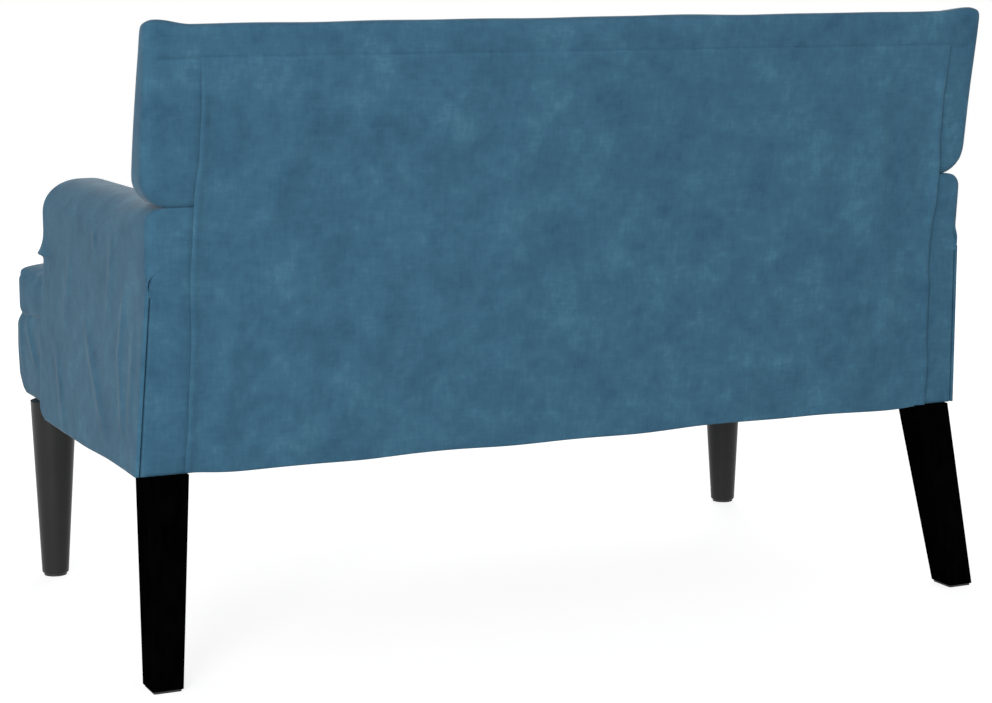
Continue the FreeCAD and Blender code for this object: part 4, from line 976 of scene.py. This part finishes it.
class Recipe:
    """A material's node tree, with short ways to add and link nodes."""

    def __init__(self, name):
        self.material = bpy.data.materials.new(name)
        self.material.use_nodes = True
        self.tree = self.material.node_tree
        self.shader = self.tree.nodes["Principled BSDF"]
        self.place = self.add("ShaderNodeTexCoord").outputs["Object"]

    def add(self, kind, settings=(), **inputs):
        node = self.tree.nodes.new(kind)
        for key, value in dict(settings).items():
            setattr(node, key, value)
        for key, value in inputs.items():
            self.put(node.inputs[key.replace("_", " ")], value)
        return node

    def put(self, socket, value):
        if isinstance(value, bpy.types.NodeSocket):
            self.tree.links.new(value, socket)
        else:
            socket.default_value = value

    def set(self, **inputs):
        for key, value in inputs.items():
            self.put(self.shader.inputs[key.replace("_", " ")], value)

    def noise(self, scale, detail, roughness=0.5, stretch=None):
        """Noise in object space; stretch squeezes it along some axes into streaks."""
        place = self.place
        if stretch:
            place = self.add("ShaderNodeMapping", Vector=place, Scale=stretch).outputs["Vector"]
        node = self.add("ShaderNodeTexNoise", Vector=place, Scale=scale, Detail=detail, Roughness=roughness)
        return node.outputs["Fac"]

    def ramp(self, value, stops):
        node = self.add("ShaderNodeValToRGB", Fac=value)
        while len(node.color_ramp.elements) < len(stops):
            node.color_ramp.elements.new(0.5)
        for element, (position, colour) in zip(node.color_ramp.elements, stops):
            element.position = position
            element.color = colour
        return node.outputs["Color"]

    def weighted(self, *terms):
        """Sum of values times their weights."""
        total = None
        for value, weight in terms:
            scaled = self.add("ShaderNodeMath", {"operation": "MULTIPLY"})
            self.put(scaled.inputs[0], value)
            self.put(scaled.inputs[1], weight)
            if total is None:
                total = scaled.outputs[0]
            else:
                joint = self.add("ShaderNodeMath", {"operation": "ADD"})
                self.put(joint.inputs[0], total)
                self.put(joint.inputs[1], scaled.outputs[0])
                total = joint.outputs[0]
        return total

    def bump(self, height, strength, distance):
        node = self.add("ShaderNodeBump", Height=height, Strength=strength, Distance=distance)
        self.set(Normal=node.outputs["Normal"])


VELVET_STOPS = ((0.36, linear(50, 88, 114)), (0.46, linear(58, 99, 124)), (0.54, linear(64, 107, 132)),
                (0.65, linear(77, 124, 147)))


def velvet():
    """Short-pile blue velvet: cloudy nap, faint crossed streaks and a soft sheen at grazing angles."""
    mix = Recipe("velvet")
    clouds = mix.noise(scale=17, detail=6, roughness=0.62)
    patches = mix.noise(scale=52, detail=4, roughness=0.6)
    upright = mix.noise(scale=1, detail=3, roughness=0.6, stretch=(300, 300, 48))
    level = mix.noise(scale=1, detail=3, roughness=0.6, stretch=(48, 48, 340))
    fibres = mix.noise(scale=900, detail=2, roughness=0.7)
    shade = mix.weighted((clouds, 0.41), (patches, 0.24), (upright, 0.14), (level, 0.12), (fibres, 0.09))
    mix.set(Base_Color=mix.ramp(shade, VELVET_STOPS), Roughness=0.85, Specular_IOR_Level=0.12)
    mix.set(Sheen_Weight=0.19, Sheen_Roughness=0.42, Sheen_Tint=linear(214, 216, 214))
    pile = mix.weighted((fibres, 0.5), (upright, 0.25), (level, 0.25))
    mix.bump(pile, strength=0.35, distance=0.0006)
    return mix.material


def black_wood(name, grey, roughness, specular):
    """Black wood with a trace of grain: lacquered, or, with no grey and no shine, a darker copy painted in
    shade.
    """
    mix = Recipe(name)
    grain = mix.noise(scale=1, detail=5, roughness=0.65, stretch=(160, 160, 9))
    wear = mix.noise(scale=14, detail=3)
    tone = mix.weighted((grain, 0.6), (wear, 0.4))
    dark = linear(grey, grey, grey)
    light = linear(grey + 6, grey + 6, grey + 6)
    gloss = mix.weighted((grain, 0.10), (wear, 0.08), (1.0, roughness - 0.09))
    colour = mix.ramp(tone, ((0.3, dark), (0.7, light)))
    mix.set(Base_Color=colour, Roughness=gloss, Specular_IOR_Level=specular)
    mix.bump(grain, strength=0.12, distance=0.0003)
    return mix.material


def timber(name, dark, light):
    """Plain wood with long grain across the bench."""
    mix = Recipe(name)
    grain = mix.noise(scale=1, detail=6, roughness=0.6, stretch=(6, 90, 90))
    figure = mix.noise(scale=1, detail=3, stretch=(2, 22, 22))
    tone = mix.weighted((grain, 0.5), (figure, 0.5))
    colour = mix.ramp(tone, ((0.32, linear(*dark)), (0.68, linear(*light))))
    mix.set(Base_Color=colour, Roughness=0.68)
    mix.bump(grain, strength=0.25, distance=0.0004)
    return mix.material


def speckled(name, dark, light, scale, roughness, metallic=0.0):
    """Fine-grained material such as felt, foam, steel or moulded plastic."""
    mix = Recipe(name)
    grain = mix.noise(scale, detail=4, roughness=0.6)
    colour = mix.ramp(grain, ((0.35, linear(*dark)), (0.65, linear(*light))))
    mix.set(Base_Color=colour, Roughness=roughness, Metallic=metallic)
    mix.bump(grain, strength=0.3, distance=0.0003)
    return mix.material


def slot_materials():
    """One material for each material slot of the frame."""
    return {
        "velvet": velvet(),
        "foam": speckled("foam", (214, 196, 150), (232, 218, 178), 700, 0.95),
        "felt": speckled("felt", (92, 92, 94), (122, 121, 120), 420, 0.98),
        "dust_cloth": speckled("dust_cloth", (16, 16, 17), (34, 34, 35), 520, 0.95),
        "webbing": speckled("webbing", (40, 42, 46), (66, 68, 72), 640, 0.9),
        "pine": timber("pine", (186, 148, 98), (222, 190, 142)),
        "plywood": timber("plywood", (188, 152, 108), (214, 182, 138)),
        "hardboard": speckled("hardboard", (96, 68, 44), (124, 92, 62), 260, 0.75),
        "black_lacquer": black_wood("black_lacquer", grey=40, roughness=0.36, specular=0.16),
        "zinc_steel": speckled("zinc_steel", (168, 170, 172), (198, 200, 202), 180, 0.38, 1.0),
        "nylon": speckled("nylon", (20, 20, 21), (34, 34, 35), 240, 0.55),
    }


def dress(piece, material):
    piece.data.materials.clear()
    piece.data.materials.append(material)


# Camera, light and floor

IMAGE_WIDTH = 992
FOCAL_PIXELS = 2345.9
SENSOR_MM = 36.0
CAMERA_PLACE = (1.3071, 2.8154, 0.8108)
CAMERA_YAW = 0.4412
CAMERA_PITCH = 0.1614

AMBIENT = 0.83
AMBIENT_ABOVE = 0.28
LAMP_AIM_HEIGHT = 0.4
KEY_PLACE = (4.0, 5.2, 1.6)
KEY_AIM = (0.0, 0.1, LAMP_AIM_HEIGHT)
KEY_SIZE = 2.6
KEY_POWER = 250.0
FILL_PLACE = (-1.8, -3.4, 1.9)
FILL_AIM = (0.0, 0.0, LAMP_AIM_HEIGHT)
FILL_SIZE = 2.4
FILL_POWER = 72.0
FLOOR_SIZE = 30.0
FLOOR_COLOUR = (0.42, 0.42, 0.42, 1)
FLOOR_GLOW = 0.80
WHITE = (1, 1, 1, 1)


def add_camera():
    data = bpy.data.cameras.new("camera")
    data.sensor_fit = "HORIZONTAL"
    data.sensor_width = SENSOR_MM
    data.lens = FOCAL_PIXELS / IMAGE_WIDTH * SENSOR_MM
    camera = bpy.data.objects.new("camera", data)
    level = math.cos(CAMERA_PITCH)
    ahead = Vector((-math.sin(CAMERA_YAW) * level, -math.cos(CAMERA_YAW) * level, -math.sin(CAMERA_PITCH)))
    camera.location = CAMERA_PLACE
    camera.rotation_euler = ahead.to_track_quat("-Z", "Y").to_euler()
    bpy.context.scene.collection.objects.link(camera)
    bpy.context.scene.camera = camera


def seen_directly(tree):
    """1 for rays from the camera, a reflection or a clear surface, and 0 for rays that only carry light."""
    path = tree.nodes.new("ShaderNodeLightPath")
    total = path.outputs["Is Camera Ray"]
    for name in ("Is Glossy Ray", "Is Transmission Ray"):
        either = tree.nodes.new("ShaderNodeMath")
        either.operation = "MAXIMUM"
        tree.links.new(total, either.inputs[0])
        tree.links.new(path.outputs[name], either.inputs[1])
        total = either.outputs[0]
    return total


def add_world():
    """White surroundings: plain white where they are seen, dimmer as a light, most of all from above."""
    world = bpy.data.worlds.new("studio")
    world.use_nodes = True
    tree = world.node_tree
    light = tree.nodes["Background"]
    light.inputs["Color"].default_value = WHITE
    way = tree.nodes.new("ShaderNodeTexCoord")
    parts = tree.nodes.new("ShaderNodeSeparateXYZ")
    tree.links.new(way.outputs["Generated"], parts.inputs[0])
    dimming = tree.nodes.new("ShaderNodeMapRange")
    dimming.inputs["To Min"].default_value = AMBIENT
    dimming.inputs["To Max"].default_value = AMBIENT_ABOVE
    tree.links.new(parts.outputs["Z"], dimming.inputs["Value"])
    tree.links.new(dimming.outputs[0], light.inputs["Strength"])
    white = tree.nodes.new("ShaderNodeBackground")
    white.inputs["Color"].default_value = WHITE
    white.inputs["Strength"].default_value = 1
    mix = tree.nodes.new("ShaderNodeMixShader")
    tree.links.new(seen_directly(tree), mix.inputs["Fac"])
    tree.links.new(light.outputs[0], mix.inputs[1])
    tree.links.new(white.outputs[0], mix.inputs[2])
    tree.links.new(mix.outputs[0], tree.nodes["World Output"].inputs["Surface"])
    bpy.context.scene.world = world


def add_lamp(name, place, aim, size, power):
    data = bpy.data.lights.new(name, "AREA")
    data.shape = "DISK"
    data.size = size
    data.energy = power
    lamp = bpy.data.objects.new(name, data)
    lamp.location = place
    lamp.rotation_euler = (Vector(aim) - Vector(place)).to_track_quat("-Z", "Y").to_euler()
    bpy.context.scene.collection.objects.link(lamp)


def add_floor():
    """Pale floor that looks white and still takes the bench's shadow."""
    half = FLOOR_SIZE / 2
    corners = [(-half, -half, 0), (half, -half, 0), (half, half, 0), (-half, half, 0)]
    floor = new_object("floor", corners, [(0, 1, 2, 3)])
    material = bpy.data.materials.new("floor")
    material.use_nodes = True
    tree = material.node_tree
    shader = tree.nodes["Principled BSDF"]
    shader.inputs["Base Color"].default_value = FLOOR_COLOUR
    shader.inputs["Roughness"].default_value = 1
    shader.inputs["Specular IOR Level"].default_value = 0
    glow = tree.nodes.new("ShaderNodeEmission")
    glow.inputs["Color"].default_value = WHITE
    lift = tree.nodes.new("ShaderNodeMath")
    lift.operation = "MULTIPLY"
    lift.inputs[1].default_value = FLOOR_GLOW
    tree.links.new(seen_directly(tree), lift.inputs[0])
    tree.links.new(lift.outputs[0], glow.inputs["Strength"])
    both = tree.nodes.new("ShaderNodeAddShader")
    tree.links.new(shader.outputs[0], both.inputs[0])
    tree.links.new(glow.outputs[0], both.inputs[1])
    tree.links.new(both.outputs[0], tree.nodes["Material Output"].inputs["Surface"])
    dress(floor, material)


# Assembly


def place(piece, slot, *nodes):
    """Hangs a finished piece on the frame in place of some of its nodes."""
    dress(piece, materials[slot])
    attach(piece, "root")
    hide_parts(*nodes)
    return piece


bpy.context.scene.view_settings.view_transform = "Standard"
materials = slot_materials()
slot_of = {row["node"]: row["material_slot"] for row in frame["record"]["subparts"]}
for node, solid in frame["nodes"].items():
    dress(solid, materials[slot_of[node]])
# Painted shade: the rear legs get a copy of the black lacquer with no grey and no shine, so they render
# darker, standing in for the shade they sit in
shaded_leg_black = black_wood("shaded_leg_black", grey=0, roughness=0.7, specular=0.0)
for node in ("left_rear_leg", "right_rear_leg"):
    dress(frame["nodes"][node], shaded_leg_black)

left_arm = arm_upholstery("left_arm_upholstery")
right_arm = mirrored_arm(left_arm, "right_arm_upholstery")
for side, arm in (("left", left_arm), ("right", right_arm)):
    place(arm, "velvet", side + "_arm_cover", side + "_arm_foam", side + "_outer_panel_cover")

apron = place(seat_apron("seat_apron"), "velvet", "apron_cover", "apron_pad")
cushion = place(seat_cushion("seat_cushion"), "velvet", "seat_cover", "seat_foam")
back = place(back_upholstery("back_upholstery"), "velvet", "back_cover", "back_foam")
place(tuft_buttons("covered_buttons"), "velvet", "tuft_buttons")
panel = place(rear_panel("rear_panel"), "velvet", "rear_flap")
cloth = place(underside_cloth("underside_cloth"), "dust_cloth", "dust_cover")

add_camera()
add_world()
add_lamp("key", KEY_PLACE, KEY_AIM, KEY_SIZE, KEY_POWER)
add_lamp("fill", FILL_PLACE, FILL_AIM, FILL_SIZE, FILL_POWER)
add_floor()
